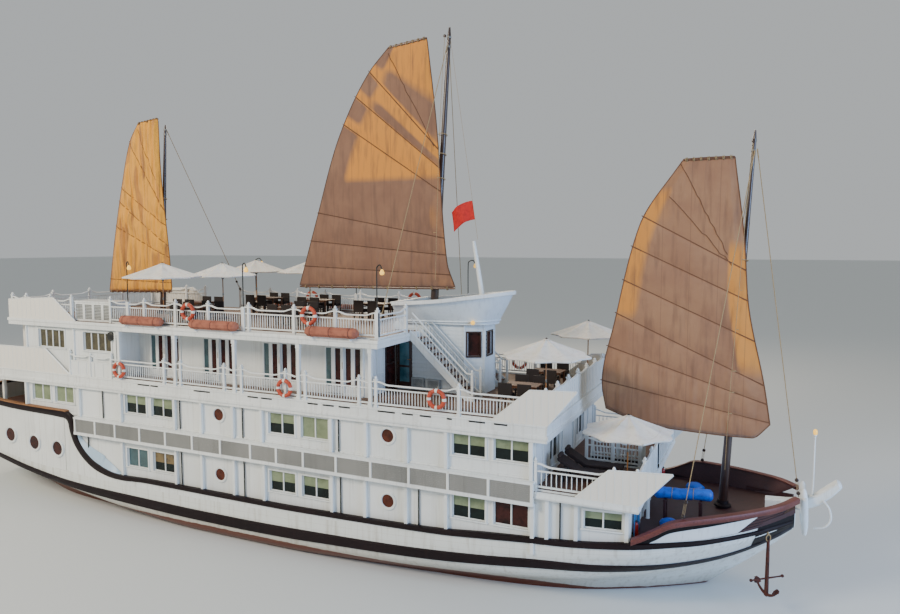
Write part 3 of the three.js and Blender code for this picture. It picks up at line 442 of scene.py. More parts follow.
# Woven cloth in sewn strips: threads across and along, a seam between strips, faded and stained in patches
def wovenCloth(name, body, faded, stained, lit=None, litRange=(0, 1), stripMm=900, thin=0.0):
    threadMm = 18  # real threads are about 1 mm apart, and are drawn coarser to show
    material, tree, place = newMaterial(name, body, 0.85, Sheen_Weight=0.25, Sheen_Roughness=0.6)
    uv = addNode(tree, "UVMap", {"uv_map": "surface"}).outputs[0]
    patches = addNode(tree, "TexNoise", {"Scale": 0.8, "Detail": 5.0, "Roughness": 0.6}, {"Vector": place})
    cloth = overlay(tree, body, faded, patches, 0.4, 0.7)
    # Painted sunlight: where the attribute is high the cloth takes the lit colour, for sun shining through
    # it; where low it keeps the colour of cloth in shade
    if lit:
        glow = addNode(tree, "Attribute", {"attribute_name": "sunFaded"}).outputs["Fac"]
        patchy = addNode(tree, "Math", {"operation": "MULTIPLY_ADD", 1: 0.35, 2: -0.17}, {0: patches})
        glowing = addNode(tree, "Math", {"operation": "ADD"}, {0: glow, 1: patchy})
        cloth = overlay(tree, cloth, lit, glowing, *litRange)
    tall = addNode(tree, "Mapping", {"Scale": (5.0, 5.0, 0.7)}, {"Vector": place})
    stains = addNode(tree, "TexNoise", {"Scale": 1.0, "Detail": 6.0}, {"Vector": tall})
    dirty = overlay(tree, cloth, stained, stains, 0.5, 0.78, 0.75)
    across = addNode(tree, "SeparateXYZ", links={0: uv}).outputs["X"]
    seam, rows = seamsIn(tree, across, stripMm / 1000, 0.0, 0.035, 0.35)
    weave = addNode(tree, "Mapping", {"Scale": (1000 / threadMm, 1000 / threadMm, 1.0)}, {"Vector": uv})
    threads = addNode(tree, "TexChecker", {"Scale": 1.0}, {"Vector": weave}).outputs["Fac"]
    if thin:
        shaderOf(material)["Subsurface Weight"].default_value = thin
        shaderOf(material)["Subsurface Radius"].default_value = (0.06, 0.03, 0.015)
    height = addNode(tree, "Math", {"operation": "MULTIPLY_ADD", 1: 0.12}, {0: threads, 2: seam})
    return finished(material, overlay(tree, stained, dirty, seam), height, 0.4, 0.006)


# Anything cast, moulded or rolled: one colour, mottled, with pitting where it is rough
def mottled(name, base, second, roughness, metallic=0.0, scale=6.0, pits=0.15, **extra):
    material, tree, place = newMaterial(name, base, roughness, metallic, **extra)
    spots = addNode(tree, "TexNoise", {"Scale": scale, "Detail": 6.0, "Roughness": 0.65}, {"Vector": place})
    return finished(material, overlay(tree, base, second, spots, 0.45, 0.65), spots, pits)


# Strands over and under: rattan furniture and laid rope
def wovenStrands(name, strand, gap, strandMm, turn=0.0):
    material, tree, place = newMaterial(name, strand, 0.7)
    drawn = addNode(tree, "Mapping", {"Scale": (1000 / strandMm,) * 3, "Rotation": (turn, 0.0, turn)},
                    {"Vector": place})
    waves = addNode(tree, "TexWave", {"Scale": 1.0, "Distortion": 0.6, "Detail": 2.0},
                    {"Vector": drawn}).outputs["Fac"]
    return finished(material, overlay(tree, gap, strand, waves, 0.15, 0.7), waves, 0.5, 0.006)


whitePaint = brushedOilPaint("brushedWhiteOilPaint", "#E3E7E5", "#D6DAD8", "#A5A196")
wallPaint = brushedOilPaint("brushedWhiteOilPaintOnBoards", "#E1E5E4", "#D4D9D8", "#A3A096", streaks=0.45)
# Pale blue: painted shade, for white boards lying in open shade
paintedShadeBlue = brushedOilPaint("paleBlueOilPaint", "#A9C2D6", "#B9CBD6", "#8C9BA5", streaks=0.3)
# White oil paint darkened and blued: the open shade on the wheelhouse is painted into it
houseWhiteWithPaintedShade = brushedOilPaint("wheelhouseOilPaint", "#D5DFE4", "#CBD6DC", "#97A1A6", streaks=0.4)
darkPaint = brushedOilPaint("darkBrownGlossPaint", "#150A0D", "#1D1013", "#2C1B1B", roughness=0.45,
                            streaks=0.4)
blackPaint = brushedOilPaint("nearBlackGlossPaint", "#0D090C", "#151013", "#261D1D", roughness=0.45,
                             streaks=0.3)
greyPaint = brushedOilPaint("greyVentPaint", "#7E807D", "#6F716E", "#4A4A47", roughness=0.55)
hullPaint = bottomPaintedHull("hullPaintOverPlanks", "#DDE1DC", "#5A2C1C", "#8D7F66")
capTimber = plainSawnTimber("oiledRedBrownTimber", "#6E352C", "#4A211C", 0.5, worn="#7B4035")
innerTimber = plainSawnTimber("darkBrownStainedPlanks", "#431F1F", "#2C1416", 0.6, worn="#4E2826")
railTimber = plainSawnTimber("weatheredTeakCap", "#96683F", "#6B452A", 0.6, worn="#A67B50")
sparTimber = plainSawnTimber("varnishedSpar", "#6A4228", "#42271A", 0.35, along="z", coat=0.5)
bootTimber = plainSawnTimber("darkVarnishedMast", "#38221A", "#22140F", 0.35, along="z", coat=0.5)
poleTimber = plainSawnTimber("varnishedParasolPole", "#A9743F", "#7A4E2A", 0.35, along="z", grainMm=12,
                             coat=0.4)
doorTimber = plainSawnTimber("darkStainedDoorFrame", "#3B211A", "#251410", 0.38, along="z", grainMm=12,
                             coat=0.4)
tableTimber = plainSawnTimber("stainedTeakTable", "#6B4630", "#482C1E", 0.5, worn="#7A5238")
sunDeckBoards = caulkedDeck("caulkedSunDeck", "#7D5F49", "#6A4E3C", "#2B201A", "#E4E1D7")
foreDeckBoards = caulkedDeck("caulkedForeDeck", "#6B4A3B", "#573A2E", "#241813", "#E4E1D7")
tintedGlass = mottled("tintedWindowGlass", "#15201F", "#0D1413", 0.07, scale=1.5, pits=0.0)
brownGlass = mottled("brownPortholeGlass", "#55291C", "#381A13", 0.1, scale=3.0, pits=0.0)
redGlass = mottled("redBrownCurtainedPane", "#3E1E1B", "#1F1110", 0.15, scale=3.0, pits=0.0)
cabinDark = mottled("unlitCabinInside", "#191513", "#0E0C0B", 0.9)
rustyIron = mottled("rustedIron", "#552A20", "#2F1A18", 0.85, metallic=0.2, scale=9.0, pits=0.7)
galvanised = mottled("galvanisedSteel", "#8B8B86", "#6E6D68", 0.5, metallic=0.8, scale=14.0)
lampIron = mottled("darkPaintedLampIron", "#20211F", "#2C2C28", 0.45, metallic=0.2)
bronze = mottled("castBronze", "#A4773A", "#6D5530", 0.35, metallic=1.0, scale=8.0, pits=0.2)
raftCloth = mottled("orangeRaftCover", "#A2614A", "#7E4636", 0.65, scale=4.0, pits=0.3)
ringOrange = mottled("orangeLifebuoyShell", "#B9472B", "#993822", 0.55)
ringWhite = mottled("whiteLifebuoyBand", "#E4E0D6", "#CFC8BA", 0.6)
rope = wovenStrands("laidManilaRope", "#B59A6C", "#7C6543", 30, turn=0.6)
rattan = wovenStrands("darkRattanWeave", "#2C211D", "#15100E", 35)
cushionCloth = mottled("darkCushionCloth", "#3A2C2A", "#2A2020", 0.9, scale=25.0, pits=0.4)
tarpaulin = mottled("blueTarpaulin", "#0E62CE", "#0E469C", 0.45, scale=5.0, pits=0.6)
boxGrey = mottled("greyPowderCoat", "#A2ACB2", "#8A949A", 0.45, scale=4.0)
signalRed = mottled("redExtinguisherEnamel", "#A81F1C", "#861815", 0.3, scale=5.0, Coat_Weight=0.5)
lampGlass = mottled("warmLampGlass", "#F2C55A", "#F0B040", 0.3, Emission_Color=colour("#F2B848"),
                    Emission_Strength=1.2)
canopyCloth = wovenCloth("whiteCanopyCanvas", "#E9E6DE", "#DEDAD0", "#C9C2B3", stripMm=5000, thin=0.15)
# The lit colours of the sails are painted sunlight shining through the cloth
foreCloth = wovenCloth("foresailCanvas", "#8E6547", "#9C7350", "#6B4A35", lit="#C98534",
                       litRange=(0.35, 0.95))
mainCloth = wovenCloth("mainsailCanvas", "#7B563E", "#8A6448", "#5B3F2F", lit="#CB8428",
                       litRange=(0.35, 0.95))
mizzenCloth = wovenCloth("mizzenCanvas", "#B07428", "#C98A2C", "#4E3A22", lit="#DD9A26", litRange=(0.3, 0.9))
flagRed = mottled("redFlagBunting", "#C3211C", "#A81B18", 0.8, scale=8.0)
bluePlanks = brushedOilPaint("brightBlueOilPaint", "#3A7FB8", "#4A8BC0", "#2B5F8C", streaks=0.3)
for dull in (darkPaint, blackPaint, tintedGlass, redGlass, brownGlass):
    shaderOf(dull)["Specular IOR Level"].default_value = 0.22
print("materials ready")


print("materials ready")


# Smooth line through a few points, with the same number of steps between each two
def smoothPath(points, steps):
    points = [Vector(p) for p in points]
    ends = [points[0] * 2 - points[1], *points, points[-1] * 2 - points[-2]]
    path = []
    for i in range(1, len(points)):
        a, b, c, d = ends[i - 1:i + 3]
        for k in range(steps):
            t = k / steps
            path.append(0.5 * (2 * b + (c - a) * t + (2 * a - 5 * b + 4 * c - d) * t * t
                               + (3 * b - a - 3 * c + d) * t ** 3))
    return path + [points[-1]]


# Hull
hullShape = {
    "columns": ("x", "keel", "low", "up", "bilge", "water", "lowHalf", "upHalf"),
    "stations": [  # heights of the keel and the two strakes, then half-breadths
        (-18.9, 0.55, 1.80, 2.15, 1.60, 2.65, 3.45, 3.64),
        (-17.0, -0.10, 1.58, 1.90, 2.00, 2.90, 3.88, 4.05),
        (-14.5, -0.75, 1.20, 1.54, 2.30, 3.05, 4.04, 4.18),
        (-11.5, -1.20, 0.85, 1.32, 2.70, 3.18, 4.09, 4.20),
        (-8.0, -1.50, 0.48, 1.22, 3.00, 3.30, 4.12, 4.20),
        (-4.0, -1.60, 0.28, 1.24, 3.20, 3.42, 4.15, 4.20),
        (0.0, -1.60, 0.30, 1.31, 3.30, 3.45, 4.15, 4.20),
        (4.0, -1.60, 0.50, 1.45, 3.20, 3.35, 4.12, 4.20),
        (8.0, -1.50, 0.80, 1.68, 2.80, 3.08, 4.00, 4.18),
        (11.0, -1.30, 1.05, 1.90, 2.10, 2.60, 3.75, 4.08),
        (13.0, -1.00, 1.28, 2.08, 1.30, 1.95, 3.25, 3.85),
        (14.5, -0.45, 1.48, 2.25, 0.75, 1.40, 2.55, 3.25),
        (15.6, 0.40, 1.66, 2.40, 0.45, 0.95, 1.85, 2.65),
        (16.6, 1.22, 1.95, 2.55, 0.30, 0.62, 1.20, 1.90),
        (17.4, 1.95, 2.30, 2.72, 0.20, 0.40, 0.70, 1.15),
        (17.8, 2.40, 2.56, 2.84, 0.12, 0.23, 0.40, 0.70),
    ],
    "edge": 0.28,
    "strakes": {  # x, bottom, top
        "low": [(-18.9, 2.0, 2.2), (-17.5, 1.79, 2.0), (-16.0, 1.58, 1.81), (-13.65, 1.18, 1.44),
                (-11.3, 0.86, 1.18),
                (-9.4, 0.75, 1.1), (-6.7, 0.66, 1.05), (-4.1, 0.61, 1.01), (-1.8, 0.6, 1.01),
                (0.4, 0.63, 1.04),
                (2.4, 0.71, 1.09), (5.07, 0.82, 1.18), (6.86, 0.92, 1.28), (8.54, 1.07, 1.41),
                (10.07, 1.22, 1.55),
                (10.95, 1.29, 1.6), (12.0, 1.34, 1.63), (13.17, 1.41, 1.69), (14.1, 1.47, 1.72),
                (15.1, 1.58, 1.81),
                (15.67, 1.67, 1.89), (16.35, 1.87, 2.07), (16.8, 2.06, 2.24), (17.4, 2.34, 2.5),
                (17.72, 2.5, 2.64)],
        "up": [(-7.6, 1.68, 1.87), (-6.6, 1.72, 1.9), (-4.1, 1.71, 1.9), (0.0, 1.7, 1.89), (2.5, 1.74, 1.93),
               (5.1, 1.8, 1.99), (6.9, 1.86, 2.06), (8.5, 1.98, 2.2), (10.0, 2.09, 2.29), (11.0, 2.14, 2.34),
               (12.0, 2.21, 2.41), (13.2, 2.31, 2.52), (14.2, 2.38, 2.56), (15.15, 2.45, 2.61),
               (15.7, 2.52, 2.67),
               (16.4, 2.6, 2.74), (17.0, 2.68, 2.82), (17.72, 2.78, 2.92)],
    },
    "camber": 0.08,
    "rows": 96,
}


def hullAt(key, x):
    column = hullShape["columns"].index(key)
    return smoothAt([(row[0], row[column]) for row in hullShape["stations"]], x)


def deckEdge(x):
    return hullAt("up", x) + hullShape["edge"]


def hullHalf(x):
    keel, low, up = (hullAt(key, x) for key in ("keel", "low", "up"))
    knots = [(0.06, keel), (hullAt("bilge", x), keel + 0.35 * (low - keel)),
             (hullAt("water", x), keel + 0.7 * (low - keel)), (hullAt("lowHalf", x), low),
             (hullAt("upHalf", x), up)]
    return [*smoothPath(knots, 5), Vector((hullAt("upHalf", x), deckEdge(x)))]


def hullSkin():
    first, last = hullShape["stations"][0][0], hullShape["stations"][-1][0]
    rings, uvs = [], []
    for k in range(hullShape["rows"] + 1):
        x = first + (last - first) * (1 - (1 - k / hullShape["rows"]) ** 1.3)
        half = hullHalf(x)
        edge = half[-1]
        across = [edge.x * (1 - j / 5) for j in range(1, 10)]
        deck = [(x, y, edge.y + hullShape["camber"] * (1 - (y / edge.x) ** 2)) for y in across]
        side = [(x, p.x, p.y) for p in half]
        girth = [0.0]
        for a, b in zip(reversed(half), list(reversed(half))[1:]):
            girth.append(girth[-1] + (a - b).length)
        rings.append([(x, -y, z) for _, y, z in reversed(side)] + side + deck)
        uvs += [(x, g) for g in girth] + [(x, g) for g in reversed(girth)] + [(x, 0)] * len(deck)
    return loft(rings), uvs


def halfAt(x, z):
    line = hullHalf(x)
    for a, b in zip(line, line[1:]):
        if z <= b.y:
            return a.x + (b.x - a.x) * min(max((z - a.y) / max(b.y - a.y, 1e-6), 0), 1)
    return line[-1].x


def strakeAt(key, x):
    table = hullShape["strakes"][key]
    return tuple(smoothAt([(row[0], row[k]) for row in table], x) for k in (1, 2))


def strake(key, side):
    table = hullShape["strakes"][key]
    rings = []
    for x in spread(table[0][0] + 0.02, table[-1][0], 110):
        low, high = strakeAt(key, x)
        tall = high - low
        profile = [(-0.1, 0.0), (0.03, 0.0), (0.075, 0.03), (0.085, tall / 2), (0.075, tall - 0.03),
                   (0.03, tall), (-0.1, tall)]
        rings.append([(x, side * (halfAt(x, low + up) + out), low + up) for out, up in profile])
    return loft(rings)


# Low bulwark between the hull's edge and the upper strake
def lowBulwark(side):
    rings = []
    for x in spread(-8.6, 14.4, 80):
        half, high = hullAt("upHalf", x), strakeAt("up", x)[1] - 0.02
        low = min(deckEdge(x) - 0.03, high - 0.01)
        rings.append([(x, side * (half + out), z)
                      for out, z in ((0.004, low), (0.004, high), (-0.08, high), (-0.08, low))])
    return loft(rings)


hullSurface, hullUvs = hullSkin()
hullPiece = makePiece("hullSkin", "ship", [(hullPaint, [hullSurface]), (innerTimber, [])],
                      replaced=("hull",), smooth=60, uvs=hullUvs)
for face in hullPiece.data.polygons:
    if face.normal.z > 0.8 and face.center.z > 1:
        face.material_index = 1

strakes = [strake(key, side) for key in ("low", "up") for side in sides]
makePiece("rubbingStrakes", "ship", [(darkPaint, strakes)], smooth=40)
makePiece("lowBulwarks", "ship", [(whitePaint, [lowBulwark(side) for side in sides])],
          smooth=40)

underwater = {"finHalf": 0.16, "shaftY": 1.25, "shaftZ": -0.95, "shaftRadius": 0.11}
finOutline = [(-17.3, -0.3), (-17.3, -1.85), (9.0, -1.85), (12.9, -1.15), (11.5, -0.4), (-13.3, -0.4)]
fin = prism(finOutline, -underwater["finHalf"], underwater["finHalf"])
shafts = [tube([(-16.34, s * underwater["shaftY"], underwater["shaftZ"]),
                (-9.4, s * underwater["shaftY"], underwater["shaftZ"])], underwater["shaftRadius"], 16)
          for s in sides]
struts = [slab((-16.18, -15.98), (s * 1.21, s * 1.29), (underwater["shaftZ"], 0.35)) for s in sides]
heel = slab((-18.1, -17.0), (-0.11, 0.11), (-1.91, -1.79))
makePiece("keelAndBossings", "ship",
          [(brushedOilPaint("bottomPaint", "#4E2A1E", "#5A3325", "#35241C"), [fin, heel, *shafts, *struts])],
          bevel=0.02)


# Bulwark walls and caps that follow a row of (point, inward direction)
def edgeLoft(rows, profile):
    return loft([[(p[0] + i[0] * inner, p[1] + i[1] * inner, p[2] + up) for inner, up in profile]
                 for p, i in rows])


# Raised stern quarter: x, half-breadth and height of the top
quarter = {
    "rows": [(-7.4, 4.205, 1.79), (-8.1, 4.205, 1.77), (-8.9, 4.205, 1.85), (-9.74, 4.205, 2.11),
             (-10.35, 4.203, 2.5),
             (-10.8, 4.202, 3.0), (-11.02, 4.2, 3.5), (-11.13, 4.199, 3.92), (-11.4, 4.198, 4.14),
             (-12.0, 4.197, 4.18),
             (-15.0, 4.195, 4.25), (-17.5, 4.03, 4.38),
             (-19.0, 3.74, 4.5)],  # along the middle of the dark band
    "band": [(7.4, 0.09), (8.6, 0.12), (9.6, 0.15), (11.4, 0.15), (12.5, 0.13),
             (19, 0.12)],  # -x, half its width
    "wall": 0.09,
    "ports": [(-15.2, 2.86), (-13.57, 2.67), (-12.03, 2.58)],
    "portRadius": 0.31,
    "seams": [-17.9, -16.4, -14.4, -12.8, -11.55],
}


def quarterRows():
    rows = []
    tops = smoothPath([(x, -half, top) for x, half, top in quarter["rows"]], 7)
    for p in tops:
        rows.append((p, (0.0, 1.0)))
    corner, radius = Vector(quarter["rows"][-1]), 0.1
    for k in range(1, 5):
        turn = math.radians(22.5 * k)
        centre = (corner.x, -corner.y + radius)
        rows.append((Vector((centre[0] - radius * math.sin(turn), centre[1] - radius * math.cos(turn),
                             corner.z)),
                     (math.sin(turn), math.cos(turn))))
    for y in spread(-corner.y + radius, 0, 8)[1:]:
        rows.append((Vector((corner.x - radius, y, corner.z + 0.06 * (1 + y / corner.y))), (1.0, 0.0)))
    port = [((Vector((p.x, -p.y, p.z))), (i[0], -i[1])) for p, i in reversed(rows[:-1])]
    return rows + port


def wallRing(p, inward):
    low = min(deckEdge(max(p.x, -18.9)) - 0.02, p.z - 0.06)
    wall = quarter["wall"]
    inner = (p.x + inward[0] * wall, p.y + inward[1] * wall)
    return [(p.x, p.y, low), (p.x, p.y, p.z), (*inner, p.z), (*inner, low)]


rowsOfQuarter = quarterRows()
quarterWall = loft([wallRing(p, inward) for p, inward in rowsOfQuarter])
quarterSeams = []
for x in quarter["seams"]:
    half = smoothAt([(-x0, half) for x0, half, _ in quarter["rows"]], -x)
    quarterSeams.append(slab((x, x + 0.012), (-half - 0.004, -half + 0.02),
                             (deckEdge(x) + 0.03,
                              smoothAt([(-r[0], r[2]) for r in quarter["rows"]], -x) - 0.02)))
transomSeams = [slab((-19.104, -19.09), (y, y + 0.012), (2.5, 4.6)) for y in spread(-2.8, 2.8, 5)]


def portholeSet(x, y, z, radius, out=-1):
    ring = turned((x, y - out * 0.03, z), [(radius, 0.0), (radius + 0.1, 0.0), (radius + 0.1, 0.055),
                                           (radius + 0.085, 0.07), (radius + 0.02, 0.07), (radius, 0.05)],
                  28, (0, out, 0))
    ring = (ring[0], [f for f in ring[1] if len(f) == 4])
    count = 28
    ring = (ring[0], ring[1] + [(5 * count + i, 5 * count + (i + 1) % count, (i + 1) % count, i)
                                for i in range(count)])
    bolts = [turned((x + (radius + 0.055) * math.cos(a), y + out * 0.035, z + (radius + 0.055) * math.sin(a)),
                    [(0.012, 0), (0.012, 0.01), (0.004, 0.014)], 6, (0, out, 0))
             for a in turns(8)]
    pane = turned((x, y - out * 0.02, z), [(radius + 0.01, 0.0), (radius + 0.01, 0.02)], 28, (0, out, 0))
    return [ring, *bolts], [pane]


quarterRims, quarterPanes = [], []
for x, z in quarter["ports"]:
    for side in sides:
        rims, panes = portholeSet(x, side * 4.222, z, quarter["portRadius"], side)
        quarterRims += rims
        quarterPanes += panes
makePiece("quarterBulwark", "ship",
          [(whitePaint, [quarterWall, *quarterRims]), (redGlass, quarterPanes),
           (cabinDark, bothSides(quarterSeams) + transomSeams)], replaced=("quarter_bulwark",), smooth=40)


# The dark band is measured square to its curve; the teak board lies on its level part only
def bandWidth(p):
    return smoothAt(quarter["band"], -p.x)


bandRings, reveal = [], []
for i, (p, inward) in enumerate(rowsOfQuarter):
    ahead = rowsOfQuarter[min(i + 1, len(rowsOfQuarter) - 1)][0] - rowsOfQuarter[max(i - 1, 0)][0]
    run = math.copysign(math.hypot(ahead.x, ahead.y), -1)
    up = Vector((ahead.z, 0, -ahead.x)).normalized() if abs(ahead.z) > 0.3 * abs(run) else Vector((0, 0, 1))
    up = up if up.z > 0 or (up.z == 0 and up.x > 0) else -up
    wide = bandWidth(p)
    bandRings.append([p + up * wide * share + Vector((inward[0], inward[1], 0)) * inner for share, inner in
                      ((-1, 0.02), (-1, -0.045), (-0.85, -0.06), (0.85, -0.06), (1, -0.045), (1, 0.1))])
    # A pale blue strip in the hollow of the S curve: painted shade on the white wall set back behind the band
    if p.y < 0 and -11.0 < p.x < -8.2:
        share = math.sin(math.pi * (p.x + 11.0) / 2.8)
        reveal.append([p + up * wide * 0.9, p + up * (wide + 0.42 * share) + Vector((0, 0.135, 0)),
                       p + up * (wide + 0.42 * share) + Vector((0, 0.15, 0)),
                       p + up * wide * 0.9 + Vector((0, 0.05, 0))])
levelRows = [(p + Vector((0, 0, bandWidth(p))), inward) for p, inward in rowsOfQuarter if p.x < -11.35]
quarterTop = edgeLoft(levelRows, [(-0.075, 0.0), (-0.08, 0.025), (-0.06, 0.045), (0.14, 0.045),
                                  (0.155, 0.025), (0.15, 0.0)])
makePiece("quarterBand", "ship",
          [(darkPaint, [loft(bandRings)]), (railTimber, [quarterTop]),
           (paintedShadeBlue, bothSides([loft(reveal)]))],
          replaced=("quarter_cap",), smooth=40)

# Forecastle wings: x at the foot, then x, half-breadth and height of the top, and the way in
wing = {
    "rows": [
        (13.2, 13.2, 3.84, 2.6, (-0.1, 1)), (13.55, 13.55, 3.73, 2.76, (-0.15, 1)),
        (13.9, 13.9, 3.61, 2.95, (-0.2, 1)), (14.35, 14.4, 3.43, 3.2, (-0.3, 1)),
        (15.2, 15.6, 2.79, 3.34, (-0.5, 0.85)), (15.9, 16.6, 2.12, 3.43, (-0.55, 0.8)),
        (16.5, 17.35, 1.45, 3.51, (-0.6, 0.75)), (17.2, 17.86, 0.66, 3.57, (-0.7, 0.7)),
    ],
    "wall": 0.09,
}


def wingRows():
    feet = smoothPath([(foot, -(hullAt("upHalf", foot) - 0.01), min(deckEdge(foot) + 0.005, top - 0.06))
                       for foot, x, half, top, inward in wing["rows"]], 7)
    tops = smoothPath([(x, -half, top) for foot, x, half, top, inward in wing["rows"]], 7)
    ways = smoothPath([(*inward, 0) for *_, inward in wing["rows"]], 7)
    return list(zip(feet, tops, ways))


def wingShapes():
    rows = wingRows()
    way = [Vector((w.x, w.y, 0)) for _, _, w in rows]
    walls = [[f, t, t + w * 0.045, f + w * 0.045] for (f, t, _), w in zip(rows, way)]
    dark = next(i for i, (f, t, _) in enumerate(rows) if t.x > 16.95)
    outer, tip = loft(walls[:dark + 1]), loft(walls[dark:])
    planks = [tube([f.lerp(t, s) - w * 0.006 for (f, t, _), w in zip(rows[dark:], way[dark:])], 0.009, 4)
              for s in (0.15, 0.33, 0.51, 0.69, 0.87)]
    inner = loft([[f + w * 0.046, t + w * 0.046, t + w * 0.09, f + w * 0.09]
                  for (f, t, _), w in zip(rows, way)])
    tops = [(t, w) for (f, t, _), w in zip(rows, way)]
    cap = edgeLoft(tops, [(-0.07, 0.05), (-0.085, 0.02), (-0.085, -0.1), (-0.06, -0.13), (0.0, -0.13),
                          (0.0, 0.0), (0.13, 0.0), (0.155, 0.02), (0.155, 0.045), (0.13, 0.06)])
    under = []
    for i, ((f, t, _), w) in enumerate(zip(rows, way)):
        drop = min(0.3, (t - f).length * 0.8)
        under.append([t + (f - t).normalized() * s - w * out
                      for s, out in ((0.12, 0.02), (drop, 0.02), (drop, 0.0), (0.12, 0.0))])
    return outer, inner, cap, [loft(under)], [tip], planks


outerWing, innerWing, wingCap, wingUnder, wingTip, wingPlanks = wingShapes()
for side in sides:
    name = sideNames[side]
    makePiece("forecastleWing_" + name, "ship",
              [(whitePaint, onSide(side, [outerWing])), (innerTimber, onSide(side, [innerWing])),
               (capTimber, onSide(side, [wingCap])), (blackPaint, onSide(side, wingUnder + wingPlanks)),
               (innerTimber, onSide(side, wingTip))],
              replaced=("forecastle_bulwark_" + name,), smooth=40)


# Bare dark planking that closes the bow between the wings' tips and the stem
def bowPlanking():
    rows = []
    for k in range(18):
        row = []
        for t in spread(0, 1, 7):
            aft = 16.5 + 0.25 * t
            x = aft + (17.78 - aft) * k / 17
            low, high = strakeAt("low", x)[0] + 0.05, deckEdge(x) + 0.02
            z = low + (high - low) * t
            row.append((x, -halfAt(x, z) - 0.02, z))
        rows.append(row)
    inner = [[(x, y + 0.05, z) for x, y, z in row] for row in rows]
    return loft([o + i[::-1] for o, i in zip(rows, inner)])


def toeRail():
    rows = [(Vector((x, -hullAt("upHalf", x) - 0.02, deckEdge(x))), (-0.3, 0.9))
            for x in spread(16.3, 17.78, 12)]
    return edgeLoft(rows, [(0.0, 0.0), (0.0, 0.16), (0.12, 0.16), (0.12, 0.0)])


makePiece("bowPlanking", "ship",
          [(innerTimber, bothSides([toeRail()])), (blackPaint, bothSides([bowPlanking()]))], smooth=40)


# Bow beam with its bitts, bracket and lamp pole
def roundedBox(x, half, low, high, lean):
    cut = 0.05  # off each edge
    corners = [(-half, low + cut), (-half + cut, low), (half - cut, low), (half, low + cut),
               (half, high - cut), (half - cut, high), (-half + cut, high), (-half, high - cut)]
    return [(x + lean * (z - low), y, z) for y, z in corners]


beam = {
    "sections": [(16.9, 0.19, 3.00, 3.30, 0.0), (17.6, 0.2, 3.02, 3.34, 0.0), (18.1, 0.2, 3.08, 3.42, -0.15),
                 (18.5, 0.21, 3.30, 3.62, -0.3), (18.85, 0.22, 3.62, 3.91, -0.45),
                 (19.08, 0.23, 3.90, 4.12, -0.5),
                 (19.13, 0.17, 3.97, 4.10, -0.5)],
    "poleX": 18.3,
}
beamBody = loft([roundedBox(*section) for section in beam["sections"]])
horns = [tube(smoothPath([(18.1, s * 0.27, 2.3), (18.07, s * 0.33, 2.9), (18.04, s * 0.38, 3.45),
                          (18.02, s * 0.4, 3.86)], 4),
              [0.06, 0.09, 0.11, 0.12, 0.125, 0.125, 0.125, 0.125, 0.12, 0.115, 0.1, 0.085, 0.03], 12)
         for s in sides]
crossBit = tube([(18.06, y, 3.54) for y in spread(-0.6, 0.6, 5)], [0.05, 0.08, 0.085, 0.08, 0.05], 12)
heelPost = slab((16.9, 17.1), (-0.19, 0.19), (2.25, 3.1))
bracket = tube(smoothPath([(18.6, -0.24, 3.5), (18.78, -0.3, 3.25), (18.82, -0.3, 2.9), (18.65, -0.3, 2.65),
                           (18.35, -0.26, 2.55)], 6), 0.035, 10)
pole = turned((beam["poleX"], 0, 3.4), [(0.045, 0), (0.04, 0.2), (0.03, 0.25), (0.025, 2.1), (0.05, 2.12),
                                        (0.05, 2.16)], 12)
poleLamp = turned((beam["poleX"], 0, 5.56),
                  [(0.05, 0), (0.065, 0.04), (0.065, 0.12), (0.05, 0.16), (0.015, 0.18)], 14)
makePiece("bowBeamTimber", "ship",
          [(whitePaint, [beamBody, *horns, crossBit, heelPost, bracket, pole]), (lampGlass, [poleLamp])],
          replaced=("bow_beam",), bevel=0.006, smooth=40)

# Anchor hung at the hull's side from a shackle and a short rope
anchorSet = {"place": (17.04, -1.55), "crown": 0.65, "ring": 2.5, "stockZ": 1.19, "stock": 0.58, "arm": 0.54,
             "stockWay": (0.77, 0.64), "armWay": (-0.64, 0.77)}
ax, ay = anchorSet["place"]


def onAnchor(way, reach, z, off=0.0):
    return Vector((ax + way[0] * reach - way[1] * off, ay + way[1] * reach + way[0] * off, z))


armWay, stockWay, crown = anchorSet["armWay"], anchorSet["stockWay"], anchorSet["crown"]
shank = loft([[onAnchor(armWay, u * w, z, v * w) for u, v in ((-1, -0.7), (1, -0.7), (1, 0.7), (-1, 0.7))]
              for z, w in ((crown - 0.04, 0.06), (crown + 0.5, 0.055), (crown + 1.3, 0.05),
                           (anchorSet["ring"] - 0.05, 0.042))])
arms, palms = [], []
for way in (-1, 1):
    path = [onAnchor(armWay, way * anchorSet["arm"] * t, crown + 0.02 + 0.33 * t * t)
            for t in spread(0, 1, 9)]
    arms.append(tube(path, [0.055 - 0.03 * t for t in spread(0, 1, 9)], 10))
    outline = [(0.0, 0.15), (-0.1, 0.05), (-0.12, -0.09), (0, -0.13), (0.12, -0.09), (0.1, 0.05)]
    palms.append(loft([[onAnchor(armWay, way * (0.43 + t + 0.3 * u), crown + 0.29 + 0.75 * u - 0.5 * t, v)
                        for v, u in outline]
                       for t in (-0.02, 0.02)]))
stock = tube([onAnchor(stockWay, anchorSet["stock"] * t, anchorSet["stockZ"]) for t in spread(-1, 1, 7)],
             [0.03, 0.024, 0.028, 0.032, 0.028, 0.024, 0.03], 10)
stockBalls = [turned(onAnchor(stockWay, s * anchorSet["stock"], anchorSet["stockZ"] - 0.05),
                     [(0.02, 0), (0.045, 0.02), (0.055, 0.05), (0.045, 0.08), (0.02, 0.1)], 10)
              for s in sides]
shackle = tube([onAnchor(stockWay, 0.08 * math.sin(a), anchorSet["ring"] + 0.1 * math.cos(a)) for a in
                turns(20)], 0.02, 8, closed=True)
